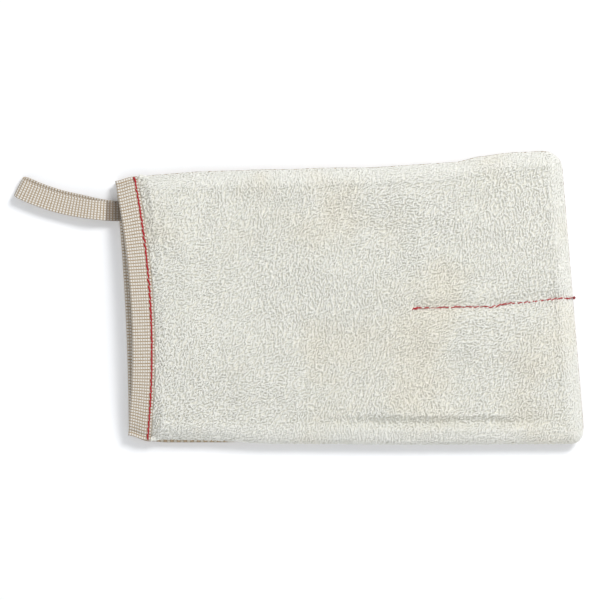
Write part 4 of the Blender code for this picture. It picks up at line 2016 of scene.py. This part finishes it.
    def closing_seam(self) -> bpy.types.Object:
        """The thread that joins front to back round the sides and the closed end.

        Returns:
            The thread, dressed.
        """
        cut = self.cut
        inset = cut.seam_inset
        end = cut.length - inset
        side_count, end_count = self.seam_stations
        along = np.linspace(cut.tape_zone + cut.puff, end, side_count)
        across = np.linspace(inset, cut.width(end) - inset, end_count)[1:-1]
        s = np.concatenate([along, np.full(len(across), end), along[::-1]])
        t = np.concatenate([np.full(len(along), inset), across, cut.width(along[::-1]) - inset])
        points = cut.place(s, t, Face.BACK, cut.rim)
        maker = StitchRow(radius=self.seam_radius)
        thread = maker.strand("closing_seam_stitches", points, self.seam_twists)
        Bench.dress(thread, self.white, Slot.WHITE)
        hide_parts("closing_seam_thread")
        return thread

    def loop_tack(self, loop: HangingLoop) -> bpy.types.Object:
        """The stitches across the loop's sewn ends.

        Args:
            loop: The loop that they hold.

        Returns:
            The thread, dressed.
        """
        count = self.loop_tack_holes
        reach = loop.width / 2 - self.end_inset
        across = np.linspace(-reach, reach, count)
        out = np.full(count, self.loop_tack_inset - loop.axis_outset - loop.tab_length)
        x, y = loop.plan(out, across)
        low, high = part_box("loop_tack_thread")
        holes = np.stack([x, y, np.full(count, (low.z + high.z) / 2)], axis=1)
        rng = np.random.default_rng(self.loop_tack_seed)
        normals = np.tile([0.0, 0.0, 1.0], (count, 1))
        piece = self.bobbin.row("loop_tack_stitches", holes, normals, rng)
        Bench.dress(piece, self.white, Slot.WHITE)
        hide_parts("loop_tack_thread")
        return piece


@dataclass
class Motion:
    """How the pieces follow the frame's bodies."""

    lip_start: float = 0.0
    lip_end: float = 0.0095
    loop_lead: float = 0.0026
    loop_trail: float = 0.0042

    def on_mitt(self, pieces: Iterable[bpy.types.Object]) -> None:
        """Makes these pieces ride on the mitt's body."""
        for piece in pieces:
            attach(piece, "mitt")

    def over_lip(self, pieces: Iterable[bpy.types.Object]) -> None:
        """Bends these pieces with the front lip: each point takes the share of the turn that its
        cloth has, so that nothing moves at the side seams and each loop of pile keeps its size.

        Args:
            pieces: The pieces, whose points keep their share of the turn.
        """
        hinge = Vector(self.joint("mouth_open")["pos_m"])
        start = hinge + Vector((0.0, 0.0, self.lip_start))
        end = hinge + Vector((0.0, 0.0, self.lip_end))
        for piece in pieces:
            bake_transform(piece, "mitt", "mouth_lip", start=start, end=end)
            Bench.note(piece, LIP_WEIGHTS, Bench.read(piece, TURN_SHARE))

    def over_loop_hinge(self, piece: bpy.types.Object) -> None:
        """Bends the strap where it leaves the mouth.

        Args:
            piece: The strap.
        """
        hinge = Vector(self.joint("loop_swing")["pos_m"])
        start = hinge + Vector((self.loop_lead, 0.0, 0.0))
        end = hinge - Vector((self.loop_trail, 0.0, 0.0))
        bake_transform(piece, "mitt", "loop", start=start, end=end)

    @staticmethod
    def joint(name: str) -> dict:
        """The frame's joint of this name."""
        return next(joint for joint in frame["joints"] if joint["name"] == name)


@dataclass
class Studio:
    """White paper, soft light from the upper right and a long lens looking down."""

    elevation: float = radians(88)
    frame_width: float = 0.3245
    lens: float = 110.0
    sensor: float = 36.0
    shift: tuple[float, float] = (0.0010, -0.0060)
    key_offset: tuple[float, float, float] = (0.64, 0.74, 1.12)
    key_size: float = 0.45
    key_power: float = 14.0
    fill_offset: tuple[float, float, float] = (-0.2, -0.9, 1.2)
    fill_size: float = 1.4
    fill_power: float = 7.0
    sky: Colour = (0.93, 0.96, 1.0, 1.0)
    sky_strength: float = 0.46
    paper_size: float = 6.0
    paper_faces: int = 24
    paper_curl: float = 0.25
    paper_curl_zone: tuple[float, float] = (2.0, 4.2)

    def build(self) -> None:
        """Puts the floor, the lights and the camera in place."""
        low, high = CAD_BOX
        centre = (Vector(low) + Vector(high)) / 2
        self.paper()
        self.light("key_softbox", centre, Vector(self.key_offset), self.key_size, self.key_power)
        self.light("fill_softbox", centre, Vector(self.fill_offset), self.fill_size, self.fill_power)
        self.camera(centre)
        world = bpy.data.worlds.new("studio")
        bpy.context.scene.world = world
        world.use_nodes = True
        background = world.node_tree.nodes["Background"]
        background.inputs["Color"].default_value = self.sky
        background.inputs["Strength"].default_value = self.sky_strength
        bpy.context.scene.view_settings.view_transform = "Standard"

    def paper(self) -> None:
        """The floor, a broad sheet of paper that curls up a little at its rim."""
        size, faces = self.paper_size, self.paper_faces
        floor = Bench.grid("paper_floor", faces, faces, size, size)
        points = Bench.points(floor) - np.array([size / 2, size / 2, 0.0])
        far = np.hypot(points[:, 0], points[:, 1])
        points[:, 2] = self.paper_curl * smooth(far, *self.paper_curl_zone)
        Bench.move(floor, points)
        floor.data.materials.append(FloorFinish().material())

    def light(self, name: str, target: Vector, offset: Vector, size: float, power: float) -> None:
        """A square softbox that faces the target.

        Args:
            name: Name of the light.
            target: Point that it faces.
            offset: Where it stands from there.
            size: Length of its sides.
            power: Its power in watts.
        """
        data = bpy.data.lights.new(name, "AREA")
        data.shape = "SQUARE"
        data.size = size
        data.energy = power
        lamp = bpy.data.objects.new(name, data)
        lamp.location = target + offset
        lamp.rotation_euler = (-offset).to_track_quat("-Z", "Y").to_euler()
        bpy.context.scene.collection.objects.link(lamp)

    def camera(self, centre: Vector) -> None:
        """The camera, straight in front and high above.

        Args:
            centre: The point that it faces.
        """
        data = bpy.data.cameras.new("camera")
        data.lens = self.lens
        data.sensor_width = self.sensor
        data.shift_x, data.shift_y = self.shift
        back = Vector((0.0, -cos(self.elevation), sin(self.elevation)))
        distance = self.frame_width / 2 / (self.sensor / 2 / self.lens)
        camera = bpy.data.objects.new("camera", data)
        camera.location = centre + back * distance
        camera.rotation_euler = (-back).to_track_quat("-Z", "Y").to_euler()
        bpy.context.scene.collection.objects.link(camera)
        bpy.context.scene.camera = camera


def main() -> None:
    """Builds every piece of the mitt, then the studio round it."""
    logging.basicConfig(level=logging.INFO, format="%(name)s: %(message)s")
    Studio().build()
    cut = MittCut.from_frame()
    weave = TapeWeave()
    motion = Motion()
    terry = TerryFinish().material()
    tape = TapeFinish().material()
    red = ThreadFinish("red_thread", (0.46, 0.006, 0.016, 1.0), (0.56, 0.02, 0.028, 1.0)).material()
    white = ThreadFinish("white_thread", (0.72, 0.70, 0.62, 1.0), (0.60, 0.57, 0.50, 1.0)).material()

    ground, *pile = FrontCloth(cut).build(terry)
    back = BackCloth(cut).build(BackFinish().material())
    front_binding = MouthTape(cut, weave, Face.FRONT)
    back_binding = MouthTape(cut, weave, Face.BACK)
    front_tape = front_binding.build(tape)
    back_tape = back_binding.build(tape)
    loop_maker = HangingLoop(weave, Vector(Motion.joint("loop_swing")["pos_m"]))
    loop, loop_flat = loop_maker.build(tape)

    thread = Stitching(cut, weave, red, white)
    front_rows = [thread.across_mouth(Face.FRONT, outside) for outside in (True, False)]
    back_rows = [thread.across_mouth(Face.BACK, outside) for outside in (True, False)]
    divider = [thread.divider_needle(), thread.divider_bobbin()]
    seams = [thread.closing_seam(), thread.loop_tack(loop_maker)]

    motion.over_lip([ground, *pile, front_tape, *front_rows])
    motion.on_mitt([back, back_tape, *back_rows, *divider, *seams])
    motion.over_loop_hinge(loop)

    flat, area = cut.flat_size, cut.flat_area
    front_binding.flat_size
    back_binding.flat_size


if __name__ == "__main__":
    main()
